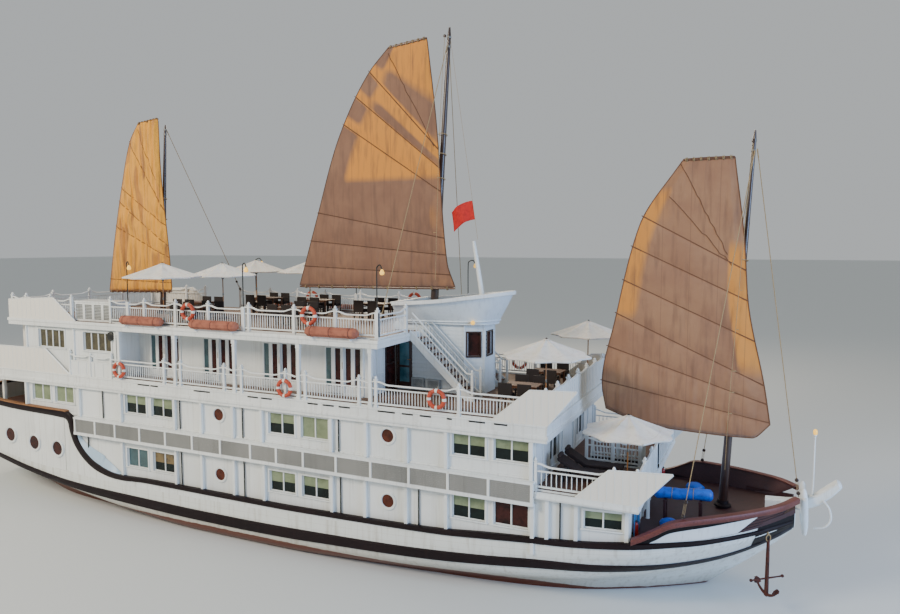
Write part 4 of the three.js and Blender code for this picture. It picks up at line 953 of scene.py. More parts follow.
hanger = tube(smoothPath([(ax, ay, anchorSet["ring"] + 0.09),
                          (ax - 0.03, ay + 0.02, anchorSet["ring"] + 0.28),
                          (ax + 0.12, ay + 0.25, anchorSet["ring"] + 0.5)], 5), 0.03, 8)
makePiece("anchorIron", "ship",
          [(rustyIron, [shank, *arms, *palms, stock, *stockBalls]), (rope, [shackle, hanger])],
          replaced=("anchor",), bevel=0.006, smooth=40)

# Rudder: planks between iron straps on a round stock
rx = -17.95  # the stock
blade = prism([(rx + 0.2, -1.74), (rx + 0.2, -0.02), (rx - 1.23, 0.24), (rx - 1.33, -1.6), (rx - 1.0, -1.74)],
              -0.055, 0.055)
gaps = [slab((rx - x, rx - x + 0.012), (-0.058, 0.058), (-1.7, -0.02 + 0.12 * x))
        for x in (0.25, 0.55, 0.85, 1.12)]
straps = [slab((rx - 1.28, rx + 0.12), (-0.068, 0.068), (z, z + 0.09)) for z in (-1.45, -0.9, -0.35)]
rudderStock = turned((rx, 0, -1.77), [(0.09, 0), (0.09, 2.4), (0.075, 2.46)], 20)
makePiece("rudderPlanks", "rudder",
          [(innerTimber, [blade]), (cabinDark, gaps), (rustyIron, [*straps, rudderStock])],
          replaced=("rudder",), bevel=0.01)

# Propellers: four pitched blades on a hub
propellerSet = {"x": -16.6, "y": 1.25, "z": -0.95, "radius": 0.515, "blades": 4}


def bladeShape(side, turnBy):
    rings = []
    for k in range(9):
        t = k / 8
        r = 0.09 + (propellerSet["radius"] - 0.09) * t
        chord = 0.14 * (0.75 + 1.4 * t - 2.05 * t * t * t) + 0.01
        pitch = math.radians(62 - 38 * t)
        ring = []
        for a in turns(10):
            c, h = chord * math.cos(a), (0.028 - 0.02 * t) * math.sin(a)
            along = c * math.sin(math.pi / 2 - pitch) + h * math.sin(pitch)
            cross = (c * math.cos(math.pi / 2 - pitch) - h * math.cos(pitch)) * side
            ring.append((along, cross, r))
        rings.append([(x, y * math.cos(turnBy) - z * math.sin(turnBy),
                       y * math.sin(turnBy) + z * math.cos(turnBy))
                      for x, y, z in ring])
    return loft(rings)


for side in sides:
    centre = (propellerSet["x"], side * propellerSet["y"], propellerSet["z"])
    fans = [moved(bladeShape(side, k * math.pi / 2), centre) for k in range(propellerSet["blades"])]
    hub = turned((centre[0] - 0.15, centre[1], centre[2]),
                 [(0.03, 0), (0.07, 0.03), (0.09, 0.1), (0.11, 0.39)],
                 24, (1, 0, 0))
    makePiece("propellerBlades_" + sideNames[side], "propeller_" + sideNames[side],
              [(bronze, [hub, *fans])],
              replaced=("propeller_" + sideNames[side],), smooth=40)
print("hull, bow and drive made")


# Sails: fanned canvas on battens; edges are (height, x) knots, battens and spars are x, z, x, z
sails = {
    "foresail": {
        "cloth": foreCloth, "pocket": "#66452F", "slack": 0.07, "gather": 0.02, "flat": (6.0, 9.9),
        "leech": [(5.84, 11.61), (6.77, 11.45), (9.02, 11.87), (12.34, 12.65), (14.47, 14.01)],
        "luff": [(5.80, 16.96), (6.94, 16.77), (9.87, 16.16), (11.65, 16.01), (14.49, 15.62)],
        "drop": [(0, 0), (0.29, 0.45), (0.72, 0.52), (0.9, 0.5), (1, 0)],
        "battens": [(11.49, 6.84, 16.9, 5.87), (11.69, 8.07, 16.61, 6.54), (11.9, 9.27, 16.36, 7.25),
                    (12.17, 10.42, 16.22, 8.6), (12.37, 11.62, 16.08, 9.87), (12.83, 12.58, 15.91, 10.91)],
        "seams": [(13.62, 13.29, 15.64, 10.99), (13.94, 14.37, 15.51, 11.33)],
        "yard": (15.62, 14.49, 14.01, 14.47), "boom": (11.49, 6.84, 16.9, 5.87), "boomBehind": True,
        "mast": ((15.578, 2.79), (16.19, 15.35), 0.15, 0.06),
    },
    "mainsail": {
        "cloth": mainCloth, "pocket": "#553A29", "slack": 0.07, "gather": 0.028,
        "flat": (7.6, 10.2),
        "leech": [(9.94, -1.58), (12.9, -0.6), (15.54, 0.29), (17.1, 1.04), (18.47, 1.94), (19.34, 2.82)],
        "luff": [(10.03, 5.7), (10.99, 5.36), (16.42, 4.9), (19.52, 4.52)],
        "drop": [(0, 0), (0.5, 0.03), (1, 0)],
        "battens": [(-1.26, 10.76, 5.4, 10.5), (-0.97, 11.82, 5.31, 11.26), (-0.6, 12.99, 5.19, 11.92),
                    (0.88, 16.43, 4.99, 13.77), (1.44, 17.48, 4.93, 14.69), (2.05, 18.47, 4.9, 15.41)],
        "seams": [(2.86, 19.11, 4.81, 15.41)],
        "yard": (4.52, 19.52, 2.82, 19.34), "boom": (-1.58, 9.883, 5.7, 9.973), "boomBehind": False,
        "mast": ((4.47, 6.005), (5.35, 19.9), 0.19, 0.07),
    },
    "mizzen_sail": {
        "cloth": mizzenCloth, "pocket": "#7E5424", "slack": 0.06, "gather": 0.085, "bulge": 0.06,
        "flat": (4.3, 8.5),
        "leech": [(9.43, -13.04), (11.89, -12.56), (14.44, -11.94), (16.55, -11.29), (17.35, -10.73)],
        "luff": [(9.53, -8.93), (10.85, -9.0), (15.61, -9.41), (17.49, -9.44)],
        "drop": [(0, 0), (0.5, 0.02), (1, 0)],
        "battens": [(-12.9, 9.98, -9.1, 9.88), (-12.42, 12.57, -9.12, 11.1), (-12.11, 13.73, -9.2, 11.7),
                    (-11.94, 14.4, -9.25, 12.62), (-11.29, 16.5, -9.4, 13.52)],
        "seams": [(-10.68, 17.09, -9.64, 14.69)],
        "yard": (-9.44, 17.49, -10.73, 17.35), "boom": (-13.04, 9.373, -8.93, 9.473), "boomBehind": False,
        "mast": ((-9.85, 8.37), (-9.28, 17.25), 0.14, 0.055),
    },
}
sailRig = {"offset": 0.27, "step": 0.085, "column": 0.055, "thick": 0.008, "sparRadius": 0.055, "crease": 0.6}


def ramp(value, low, high):
    t = min(max((value - low) / (high - low), 0), 1)
    return t * t * (3 - 2 * t)


# Painted light and shade on each sail, per point: 1 where sun shines through the cloth, 0 where it lies in
# shade. The mainsail is lit above a level line and in a band at the luff, with painted shade in the lower
# half of its top panels and by the leech; the foresail is lit at the upper leech, the luff and in patches;
# the mizzen is lit all over, with painted shade in dark streaks along its folds and at the leech.
def paintedSunAndShadeAt(name, x, z, u, t, panel):
    wild = 0.5 + 0.5 * noise.noise(Vector((x * 0.9, z * 0.9, 5)))
    if name == "mainsail":
        high = ramp(z, 13.9, 14.5)
        shade = ramp(0.2 - u, 0, 0.1) * ramp(t, 0.2, 0.5) * (panel > 2)
        below = 0.9 * ramp(t, 0.02, 0.1) * (1 - ramp(t, 0.3, 0.55)) * (panel > 4) * ramp(u, 0.1, 0.3)
        return max(high * (1 - max(shade, below)), 0.75 * ramp(u, 0.86, 0.91) * wild)
    if name == "foresail":
        edge = ramp(0.2 - u, 0, 0.12) * ramp(z, 8.6, 9.6) * (1 - ramp(z, 13.2, 13.9))
        luff = ramp(u, 0.8, 0.86) * ramp(z, 6.8, 8.0) * (1 - ramp(z, 11.2, 12.2))
        return max(edge, luff, 0.35 * ramp(z, 8.0, 11.0) * wild,
                   0.6 * ramp(0.45 - u, 0, 0.3) * ramp(z, 10.5, 12) * wild)
    streak = noise.noise(Vector((x * 3.0, z * 0.42 + x * 0.3, 2)))
    return 1 - 1.1 * ramp(streak, 0.12, 0.34) - 0.5 * ramp(0.06 - u, 0, 0.04)


def sailDepth(setup, name, x, z, u, t, panel):
    free = min(1, 9 * u, 9 * (1 - u))
    belly = setup["slack"] * max(math.sin(math.pi * t), 0) ** sailRig["crease"] * free
    low = 1 if name == "mizzen_sail" else ramp(2.2 - panel, 0, 1)
    pleats = noise.noise(Vector((x * 6.5, z * 0.5, 7))) + 0.5 * noise.noise(Vector((x * 14, z * 0.9, 3)))
    slant = noise.noise(Vector((u * 5 + panel, t * 2.2 + panel * 3.1, 9))) * 0.45
    luff = ramp(u, 0.84, 0.9) * noise.noise(Vector((x * 2.6, z * 3.4, 1))) * 1.1
    folds = setup["gather"] * (pleats * (0.25 + 0.75 * low) + slant + luff) + setup.get("bulge", 0)
    return belly + folds * min(1, 12 * u, 12 * (1 - u))


def edgeHeight(knots, x0, z0, slope):
    z = z0
    for _ in range(8):
        z = z0 + slope * (smoothAt(knots, z) - x0)
    return z


def sailGrid(name, setup):
    lines = [(setup["leech"][0][0], setup["luff"][0][0])]
    for x0, z0, x1, z1 in setup["battens"]:
        slope = (z1 - z0) / (x1 - x0)
        lines.append((edgeHeight(setup["leech"], x0, z0, slope), edgeHeight(setup["luff"], x1, z1, slope)))
    lines.append((setup["leech"][-1][0], setup["luff"][-1][0]))
    columns = round((setup["luff"][0][1] - setup["leech"][0][1]) / sailRig["column"])
    rows, uvs, sun, marks = [], [], [], []
    for panel, ((a, b), (c, d)) in enumerate(zip(lines, lines[1:])):
        count = max(5, round(((c - a) + (d - b)) / 2 / sailRig["step"]))
        for k in range(count + (panel == len(lines) - 2)):
            t = k / count
            zl, zr = a + (c - a) * t, b + (d - b) * t
            xl, xr = smoothAt(setup["leech"], zl), smoothAt(setup["luff"], zr)
            row = []
            for i in range(columns + 1):
                u = i / columns
                x, z = xl + (xr - xl) * u, zl + (zr - zl) * u
                if panel == 0:
                    z -= smoothAt(setup["drop"], u) * (1 - t)
                depth = sailDepth(setup, name, x, z, u, t, panel)
                row.append((x, -sailRig["offset"] - depth, z))
                uvs.append((x - setup["leech"][0][1], z - setup["leech"][0][0]))
                sun.append(paintedSunAndShadeAt(name, x, z, u, t, panel))
            if k == 0 and panel:
                marks.append(len(rows))
            rows.append(row)
    return rows, uvs, sun, marks


def sheetArea(shape):
    points, faces = shape
    total = 0
    for face in faces:
        a, b, c, d = (Vector(points[i]) for i in face)
        total += ((b - a).cross(c - a).length + (c - a).cross(d - a).length) / 2
    return total


def sparShape(line, y, radius):
    x0, z0, x1, z1 = line
    a, b = Vector((x0, y, z0)), Vector((x1, y, z1))
    path = [a + (b - a) * t for t in (0, 0.02, 0.2, 0.5, 0.8, 0.98, 1)]
    return tube(path, [radius * f for f in (0.55, 0.72, 0.9, 1, 0.9, 0.72, 0.55)], 16)


def lashings(line, y, radius, count):
    x0, z0, x1, z1 = line
    rings = []
    way = Vector((x1 - x0, 0, z1 - z0)).normalized()
    up = Vector((-way.z, 0, way.x))
    for k in range(count):
        middle = Vector((x0, y, z0)).lerp(Vector((x1, y, z1)), (k + 0.5) / count)
        for shift in (-0.02, 0.02):
            rings.append(tube([middle + way * shift + up * math.cos(a) * radius
                               + Vector((0, math.sin(a) * radius, 0))
                               for a in turns(10)], 0.012, 6, closed=True))
    return rings


def mastAt(setup, z):
    (x0, z0), (x1, z1), low, high = setup["mast"]
    share = (z - z0) / (z1 - z0)
    return x0 + (x1 - x0) * share, low + (high - low) * share


for name, setup in sails.items():
    rows, clothUvs, sun, marks = sailGrid(name, setup)
    cloth = skin(rows)
    pieceName = name.replace("_", "") + "Cloth"
    clothPiece = makePiece(pieceName, name, [(setup["cloth"], [cloth])], replaced=(name,),
                           smooth=180, uvs=clothUvs)
    # Painted sunlight and shade for each point of the cloth
    light = clothPiece.data.attributes.new("sunFaded", "FLOAT", "POINT")
    light.data.foreach_set("value", sun)
    thickened(clothPiece, sailRig["thick"], 0)
    pocketCloth = mottled(pieceName + "PocketTape", setup["pocket"], setup["pocket"], 0.85, scale=20.0,
                          pits=0.4)
    edge = [row[0] for row in rows] + rows[-1][1:] + [row[-1]
                                                      for row in reversed(rows)][1:] + rows[0][::-1][1:-1]
    trims = [tube(edge[::2], 0.02, 6, closed=True)]
    trims += [tube([rows[m][i] for i in range(0, len(rows[m]), 3)] + [rows[m][-1]], 0.024, 6) for m in marks]
    flatPoints = [p for row in rows for p in row]
    for x0, z0, x1, z1 in setup["seams"]:
        path = []
        for t in spread(0, 1, 18):
            x, z = x0 + (x1 - x0) * t, z0 + (z1 - z0) * t
            path.append(min(flatPoints, key=lambda p: (p[0] - x) ** 2 + (p[2] - z) ** 2))
        trims.append(tube([(p[0], p[1] - 0.004, p[2]) for p in dict.fromkeys(path)], 0.014, 6))
    tips, loops = [], []
    for m in marks:
        a, b = Vector(rows[m][0]), Vector(rows[m][3])
        tips.append(tube([a + (b - a).normalized() * s for s in (0.3, -0.07)], [0.02, 0.017], 8))
        z = rows[m][0][2] + (rows[m][-1][2] - rows[m][0][2]) * 0.82
        x, mastRadius = mastAt(setup, z)
        reach = mastRadius + 0.045
        loops.append(tube([(x + reach * math.cos(a),
                            -0.05 + (0.25 if math.sin(a) < 0 else reach + 0.05) * math.sin(a),
                            z - 0.03 * math.sin(a)) for a in turns(24)],
                          0.016, 6, closed=True))
    makePiece(pieceName + "Trim", name,
              [(pocketCloth, trims), (sparTimber, tips), (rope, loops)],
              smooth=60)
    round(sheetArea(cloth), 1)
    sparY = -sailRig["offset"]
    boomY = sparY + (0.075 if setup["boomBehind"] else 0)
    for part, y, count in (("yard", sparY, 7), ("boom", boomY, 11)):
        makePiece(name.replace("_", "") + part.title(), name,
                  [(sparTimber, [sparShape(setup[part], y, sailRig["sparRadius"])]),
                   (rope, lashings(setup[part], y, sailRig["sparRadius"] + 0.012, count))],
                  replaced=(name + "_" + part,))

# Masts: tapered poles with a head band, a truck and wedges at the deck
mastPieces = {"foremast": "foresail", "main_mast": "mainsail", "mizzen_mast": "mizzen_sail"}
for node, sailName in mastPieces.items():
    (x0, z0), (x1, z1), low, high = sails[sailName]["mast"]
    foot, head = Vector((x0, 0, z0)), Vector((x1, 0, z1))
    lean = (head - foot).normalized()
    tall = (head - foot).length
    body = turned(foot, [(low - (low - high) * t, tall * t) for t in spread(0, 0.975, 14)]
                  + [(high * 0.95, tall * 0.98), (high * 0.5, tall * 0.999)], 24, lean)
    bands = [turned(foot + lean * (tall * t),
                    [(low - (low - high) * t + 0.004, 0), (low - (low - high) * t + 0.012, 0.01),
                    (low - (low - high) * t + 0.012, 0.07),
                    (low - (low - high) * t + 0.004, 0.08)], 20, lean)
             for t in (0.945, 0.97)]
    collar = turned(foot + lean * 0.005,
                    [(low + 0.13, 0), (low + 0.13, 0.06), (low + 0.05, 0.1), (low + 0.03, 0.2),
                     (low, 0.21)], 16, lean)
    makePiece(node.replace("_m", "M") + "Pole", "ship",
              [(bootTimber, [body]), (galvanised, bands), (darkPaint, [collar])], replaced=(node,), smooth=40)
print("sails, spars and masts made")


# Parasols: eight-gore canvas canopy, ribs, turned pole and weighted foot
parasol = {
    "places": {  # x, y, deck, height
        "sun_1": (-5.8, -3.78, 8.355, 2.6), "sun_2": (-5.5, -0.64, 8.355, 2.535),
               "sun_3": (-6.79, 3.19, 8.355, 2.59),
        "sun_4": (-3.55, 3.19, 8.355, 2.59), "promenade_1": (10.05, -2.5, promenadeZ, 2.58),
        "promenade_2": (10.05, 3.4, promenadeZ, 2.62), "terrace": (12.75, -2.15, 3.835, 2.33),
    },
    "radius": 1.52,
    "rise": 0.56,
    "ribs": 8,
    "hollow": 0.13,  # how far an edge pulls in between two ribs
    "sag": 0.05,
    "turnStep": 0.21,
}


def canopyAt(share, turn):
    between = abs(math.sin(turn * parasol["ribs"] / 2))
    radius = share * parasol["radius"] * math.cos(math.pi / parasol["ribs"] * between * 0.9)
    radius *= 1 - parasol["hollow"] * 0.5 * between * share
    height = parasol["rise"] * (1 - share ** 0.92) - parasol["sag"] * between * math.sin(math.pi * share)
    return radius, height


for index, (name, (px, py, deck, height)) in enumerate(parasol["places"].items()):
    turnBy = index * parasol["turnStep"]
    top = deck + height - 0.03
    rim = top - parasol["rise"]
    rows, clothUvs = [], []
    around = turns(80)
    for share in [0.03, 0.1, 0.2, 0.32, 0.45, 0.58, 0.7, 0.81, 0.9, 0.96, 1.0]:
        row = []
        for a in around:
            radius, up = canopyAt(share, a)
            row.append((px + radius * math.cos(a + turnBy), py + radius * math.sin(a + turnBy), rim + up))
            clothUvs.append((a * radius, radius))
        rows.append(row)
    hem = [(x, y, z - 0.05) for x, y, z in rows[-1]]
    rows.append(hem)
    clothUvs += [(a * parasol["radius"], parasol["radius"] + 0.05) for a in around]
    canopy = loft(rows)
    count = len(rows[0])
    canopy = (canopy[0], [f for f in canopy[1] if len(f) == 4])
    upward = sum((Vector(canopy[0][f[1]]) - Vector(canopy[0][f[0]])).cross(
        Vector(canopy[0][f[2]]) - Vector(canopy[0][f[0]])).z for f in canopy[1])
    if upward < 0:
        canopy = (canopy[0], [f[::-1] for f in canopy[1]])
    pieceName = "canopy_" + name
    cover = makePiece(pieceName, "ship", [(canopyCloth, [canopy])],
                      replaced=("umbrella_" + name,), smooth=35, uvs=clothUvs)
    thickened(cover, 0.006, -1)
    ribTurns = [a + turnBy for a in turns(parasol["ribs"])]
    ribs, stretchers, tips = [], [], []
    for a in ribTurns:
        line = []
        for share in (0.03, 0.35, 0.7, 0.99):
            radius, up = canopyAt(share, a - turnBy)
            line.append((px + radius * math.cos(a), py + radius * math.sin(a), rim + up - 0.025))
        ribs.append(tube(line, 0.011, 6))
        reach, up = canopyAt(0.52, a - turnBy)
        stretchers.append(tube([(px + 0.04 * math.cos(a), py + 0.04 * math.sin(a), rim - 0.12),
                                (px + reach * math.cos(a), py + reach * math.sin(a), rim + up - 0.04)], 0.009,
                               6))
        tips.append(turned((line[-1][0], line[-1][1], line[-1][2] - 0.02),
                           [(0.008, 0), (0.018, 0.012), (0.018, 0.03),
                            (0.008, 0.045)], 8))
    pole = turned((px, py, deck + 0.1), [(0.024, 0), (0.024, 1.0), (0.024, height - 0.18)], 16)
    ferrule = turned((px, py, deck + 1.05), [(0.025, 0), (0.031, 0.01), (0.031, 0.1), (0.025, 0.11)], 16)
    hubs = [turned((px, py, rim - 0.18), [(0.026, 0), (0.05, 0.02), (0.05, 0.08), (0.026, 0.1)], 14),
            turned((px, py, top - 0.1), [(0.026, 0), (0.045, 0.02), (0.045, 0.06), (0.026, 0.08)], 14)]
    finial = turned((px, py, top - 0.012),
                    [(0.05, 0), (0.05, 0.012), (0.016, 0.016), (0.022, 0.028), (0.01, 0.04)], 14)
    base = turned((px, py, deck), [(0.24, 0), (0.26, 0.02), (0.26, 0.05), (0.22, 0.085), (0.07, 0.1),
                                   (0.05, 0.2),
                                   (0.035, 0.34), (0.025, 0.345)], 28)
    vent = turned((px, py, top - 0.022), [(0.11, -0.02), (0.08, -0.002), (0.02, 0.012)], 16)
    makePiece("parasol_" + name, "ship",
              [(poleTimber, [pole, *ribs, *stretchers]), (galvanised, [ferrule, *hubs, *tips]),
               (lampIron, [base, finial]), (canopyCloth, [vent])], smooth=40)
    round(sheetArea(canopy), 2)
print("parasols made")


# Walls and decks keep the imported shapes; windows, boards and mouldings are laid on them
def clad(material, *names):
    for name in names:
        cadNodes[name].data.materials[0] = material


def fitted(pairs, start, heading):
    dx, dy = heading  # u runs along the wall, v stands out from it, on the right of its heading
    return [(material, outward(([(start[0] + dx * u + dy * v, start[1] + dy * u - dx * v, z)
                                 for u, v, z in points], faces))) for material, (points, faces) in pairs]


def bothPairs(pairs):
    return list(pairs) + [(material, mirrored(shape)) for material, shape in pairs]


def sidePairs(side, pairs):
    return [(material, mirrored(shape) if side > 0 else shape) for material, shape in pairs]


def grouped(pairs):
    groups = {}
    for material, shape in pairs:
        groups.setdefault(material.name, (material, []))[1].append(shape)
    return list(groups.values())


house = {
    "faces": {"lower": -4.04, "middle": -4.045},
    "pairs": {  # x of the middle, sill, head, looks of the aft and forward window
        "lower": [(-6.545, 2.26, 3.07, "teal", "amber"), (0.985, 2.29, 3.09, "blind", "blind"),
                  (8.63, 2.49, 3.27, "blind", "dark")],
        "middle": [(-12.39, 4.64, 5.42, "full", "full"), (-6.545, 4.57, 5.36, "blind", "blind"),
                   (0.985, 4.53, 5.34, "blind", "full"), (8.63, 4.65, 5.46, "blind", "blind")],
    },
    "ports": {"lower": [(-2.795, 2.58), (4.8, 2.66)], "middle": [(-2.8, 4.995), (4.81, 5.005)]},
    "fins": {  # x of the forward side of each upright board, and of the drain pipes
        "lower": [-8.02, -4.98, -3.6, -1.96, -0.5, 2.58, 3.98, 5.63, 7.16, 10.2],
        "middle": [-14.0, -10.55, -8.02, -4.99, -3.58, -1.97, -0.58, 2.57, 4.03, 5.65, 7.16, 10.15],
    },
    "pipes": {"lower": [-10.2, -4.79, -1.56, 2.86, 6.04], "middle": [-9.2, -4.8, -1.58, 2.81]},
    "fin": (0.12, 0.14),  # width, depth
    "levels": {"lower": (1.75, 3.39), "middle": (4.16, 5.44)},
    "drop": {"blind": 0.5, "full": 1.0, "teal": 1.0, "amber": 0.55, "dark": 0.0, "shade": 1.0},
    "sash": 0.035,
}
blinds = {  # name, colours, roughness, scale of the mottling, weight of the clear coat
    "blind": ("greenRollerBlindBehindGlass", "#7F8C6C", "#6A7759", 0.75, 2.2, 0.35),
    "teal": ("tealBlindBehindGlass", "#2F5258", "#1F3B42", 0.7, 2.5, 0.9),
    "amber": ("amberBlindBehindGlass", "#6E5A2C", "#3E321C", 0.7, 3.5, 0.9),
    "shade": ("oliveShadeBehindGlass", "#4F4A33", "#2E2A1E", 0.7, 3.5, 0.35),
}
blindOf = {look: mottled(name, base, second, roughness, scale=scale, pits=0.05, Coat_Weight=coat,
                         Coat_Roughness=0.04)
           for look, (name, base, second, roughness, scale, coat) in blinds.items()}
blindOf.update(full=blindOf["blind"], dark=redGlass)
random.seed(11)


def windowUnit(u0, u1, low, high, look="blind", panes=2):
    casing = 0.07  # width of the boards round the opening
    pairs = [(whitePaint, slab((u0 - casing, u1 + casing), (-0.01, 0.03), (high, high + casing))),
             (whitePaint, slab((u0 - casing - 0.03, u1 + casing + 0.03), (-0.01, 0.055), (low - 0.045, low)))]
    pairs += [(whitePaint, slab((a, a + casing), (-0.01, 0.03), (low, high))) for a in (u0 - casing, u1)]
    sash = house["sash"]
    pairs += [(whitePaint, slab((u0, u1), (-0.1, -0.05), (z, z + sash))) for z in (low, high - sash)]
    bars = spread(u0, u1, panes + 1)
    for k, bar in enumerate(bars):
        half = 0.026 if 0 < k < panes else sash
        pairs.append((whitePaint, slab((max(bar - half, u0), min(bar + half, u1)), (-0.1, -0.045),
                                       (low + sash, high - sash))))
    for a, b in zip(bars, bars[1:]):
        share = house["drop"][look] * (1 if house["drop"][look] == 1.0 else random.uniform(0.9, 1.1))
        split = high - (high - low) * share
        if split < high:
            pairs.append((blindOf[look], slab((a, b), (-0.085, -0.075), (split, high - 0.01))))
        if split > low:
            pairs.append((tintedGlass if look != "dark" else redGlass,
                          slab((a, b), (-0.09, -0.08), (low + 0.01, split))))
    return pairs


wallPairs = []
for deck in ("lower", "middle"):
    face = house["faces"][deck]
    low, high = house["levels"][deck]
    wide, deep = house["fin"]
    for middle, sill, head, aftLook, foreLook in house["pairs"][deck]:
        for member, look in ((-0.75, aftLook), (0.75, foreLook)):
            wallPairs += fitted(windowUnit(middle + member - 0.6, middle + member + 0.6, sill, head, look),
                                (0, face), (1, 0))
    for x in house["fins"][deck]:
        wallPairs.append((whitePaint, slab((x - wide, x), (face - deep, face + 0.005), (low, high))))
    for aft, fore in zip(house["fins"][deck], house["fins"][deck][1:]):  # a bead round each bay
        a, b = aft, fore - wide
        for zs in ((low, low + 0.07), (high - 0.07, high)):
            wallPairs.append((whitePaint, slab((a, b), (face - 0.035, face + 0.005), zs)))
        for x0 in (a, b - 0.05):
            wallPairs.append((whitePaint,
                              slab((x0, x0 + 0.05), (face - 0.022, face + 0.005), (low + 0.07, high - 0.07))))
    for x in house["pipes"][deck]:
        wallPairs.append((lampIron, tube([(x, face - 0.05, low + 0.04), (x, face - 0.05, high)], 0.028, 8)))
        wallPairs += [(galvanised, turned((x, face - 0.05, z), [(0.036, 0), (0.036, 0.03)], 8))
                      for z in spread(low + 0.15, high - 0.15, 3)]
    for x, z in house["ports"][deck]:
        rims, panes = portholeSet(x, face - 0.002, z, 0.235)
        wallPairs += [(whitePaint, rim) for rim in rims] + [(brownGlass, pane) for pane in panes]

# Forward cabin beyond the knee: one window and a drain pipe on the wall that draws in
knee, corner = (10.6, -4.04), (13.1, -3.69)
kneeLength = math.dist(knee, corner)
kneeHeading = ((corner[0] - knee[0]) / kneeLength, (corner[1] - knee[1]) / kneeLength)
kneePairs = windowUnit(1.15, 2.35, 2.79, 3.37)
kneePairs += [(whitePaint, slab((u, u + 0.12), (-0.005, 0.1), (2.1, 3.62))) for u in (-0.06, 0.86, 2.41)]
kneePairs += [(lampIron, tube([(0.42, 0.05, 2.3), (0.42, 0.05, 3.62)], 0.028, 8))]
kneePairs += [(whitePaint, slab((0.06, 0.86), (-0.005, 0.03), zs)) for zs in ((2.2, 2.27), (3.56, 3.62))]
wallPairs += fitted(kneePairs, knee, kneeHeading)
makePiece("sideWallWindows", "ship", grouped(bothPairs(wallPairs)), bevel=0.004, smooth=35)

# One louvre of the vent band or the locker
def slat(x0, x1, section):
    return outward(([(x, y, z) for x in (x0, x1) for y, z in section],
                    [(0, 1, 2, 3), (7, 6, 5, 4), (0, 4, 5, 1), (1, 5, 6, 2), (2, 6, 7, 3), (3, 7, 4, 0)]))


# Louvred vent band between the two cabin decks, with a ledge above and a board below
louvres = {
    "posts": [-10.7, -9.46, -8.26, -6.83, -5.4, -3.96, -2.52, -1.04, 0.18, 1.4, 2.83, 4.27, 5.78, 7.25, 8.7,
              10.17],
    "face": -4.31, "low": 3.51, "high": 4.08, "slats": 9, "lean": 0.028,
}
face = louvres["face"]
bandPairs = [(whitePaint, slab((-10.77, 10.22), (face - 0.045, -4.2), (3.385, louvres["low"]))),
             (whitePaint, slab((-10.77, 10.22), (face - 0.045, -4.04), (louvres["high"], 4.155)))]
bandPairs += [(whitePaint, slab((x - 0.045, x + 0.045), (face - 0.04, face + 0.005),
                                (louvres["low"], louvres["high"])))
              for x in louvres["posts"]]
step = (louvres["high"] - louvres["low"]) / louvres["slats"]
for aft, fore in zip(louvres["posts"], louvres["posts"][1:]):
    for k in range(louvres["slats"]):
        z = louvres["low"] + k * step
        lean = louvres["lean"]
        section = [(face - lean - 0.006, z + 0.006), (face - lean + 0.004, z + 0.002),
                   (face - 0.001, z + step - 0.008),
                   (face - 0.011, z + step - 0.004)]
        bandPairs.append((greyPaint, slat(aft + 0.045, fore - 0.045, section)))
makePiece("ventBand", "ship", grouped(bothPairs(bandPairs)), smooth=0)

# Mouldings along the edges of the decks
mouldings = {
    "promenade": ([(-18.9, -3.9), (-17.0, -4.2), (10.6, -4.2), (10.6, 4.2), (-17.0, 4.2), (-18.9, 3.9)], True,
                  [(-0.12, 5.43), (0.015, 5.43), (0.015, 5.53), (0.05, 5.54), (0.06, 5.59), (0.05, 5.65),
                   (0.012, 5.67),
                   (0.012, 5.92), (0.035, 5.93), (0.035, 5.975), (0.02, 5.987), (-0.12, 5.987)]),
    "sun": ([(4.5, 0.9), (4.5, 4.2), (-14.9, 4.2), (-14.9, -4.2), (4.5, -4.2), (4.5, -0.9)], False,
            [(-0.1, 8.06), (0.03, 8.06), (0.03, 8.22), (0.06, 8.24), (0.06, 8.33), (0.045, sunDeckZ),
             (-0.06, sunDeckZ)]),
    "terrace": ([(10.24, -4.2), (13.45, -4.2), (13.45, 4.2), (10.24, 4.2)], False,
                [(-0.08, 3.62), (0.03, 3.62), (0.05, 3.68), (0.03, 3.74), (0.02, 3.8), (0.02, terraceZ),
                 (-0.05, terraceZ)]),
}
edgings = [sweep(path, profile, closed) for path, closed, profile in mouldings.values()]
makePiece("deckMouldings", "ship", [(whitePaint, edgings)], smooth=35)
clad(wallPaint, "lower_house", "middle_house", "upper_house")
clad(foreDeckBoards, "upper_deck")
clad(sunDeckBoards, "promenade_deck", "sun_deck")
print("side walls, windows and mouldings made")


# Ends of the houses: glazed double doors, and the windows of the aft upper cabins
def glazedDoor(u, width, low, high, frame=whitePaint, leaves=2):
    u0, u1, rail = u - width / 2, u + width / 2, 0.09
    pairs = [(frame, slab((u0 - 0.07, u1 + 0.07), (-0.01, 0.035), (high, high + 0.09)))]
    pairs += [(frame, slab((a, a + 0.07), (-0.01, 0.035), (low, high))) for a in (u0 - 0.07, u1)]
    edges = spread(u0, u1, leaves + 1)
    for a, b in zip(edges, edges[1:]):
        pairs += [(frame, slab((a + 0.004, a + rail), (-0.09, -0.04), (low, high))),
                  (frame, slab((b - rail, b - 0.004), (-0.09, -0.04), (low, high))),
                  (frame, slab((a + rail, b - rail), (-0.09, -0.04), (low, low + 0.28))),
                  (frame, slab((a + rail, b - rail), (-0.09, -0.04), (high - rail, high))),
                  (tintedGlass, slab((a + rail, b - rail), (-0.07, -0.06), (low + 0.28, high - rail))),
                  (bronze, tube([(b - 0.04, -0.02, low + 1.0), (b - 0.04, -0.02, low + 1.14)], 0.008, 6))]
    return pairs


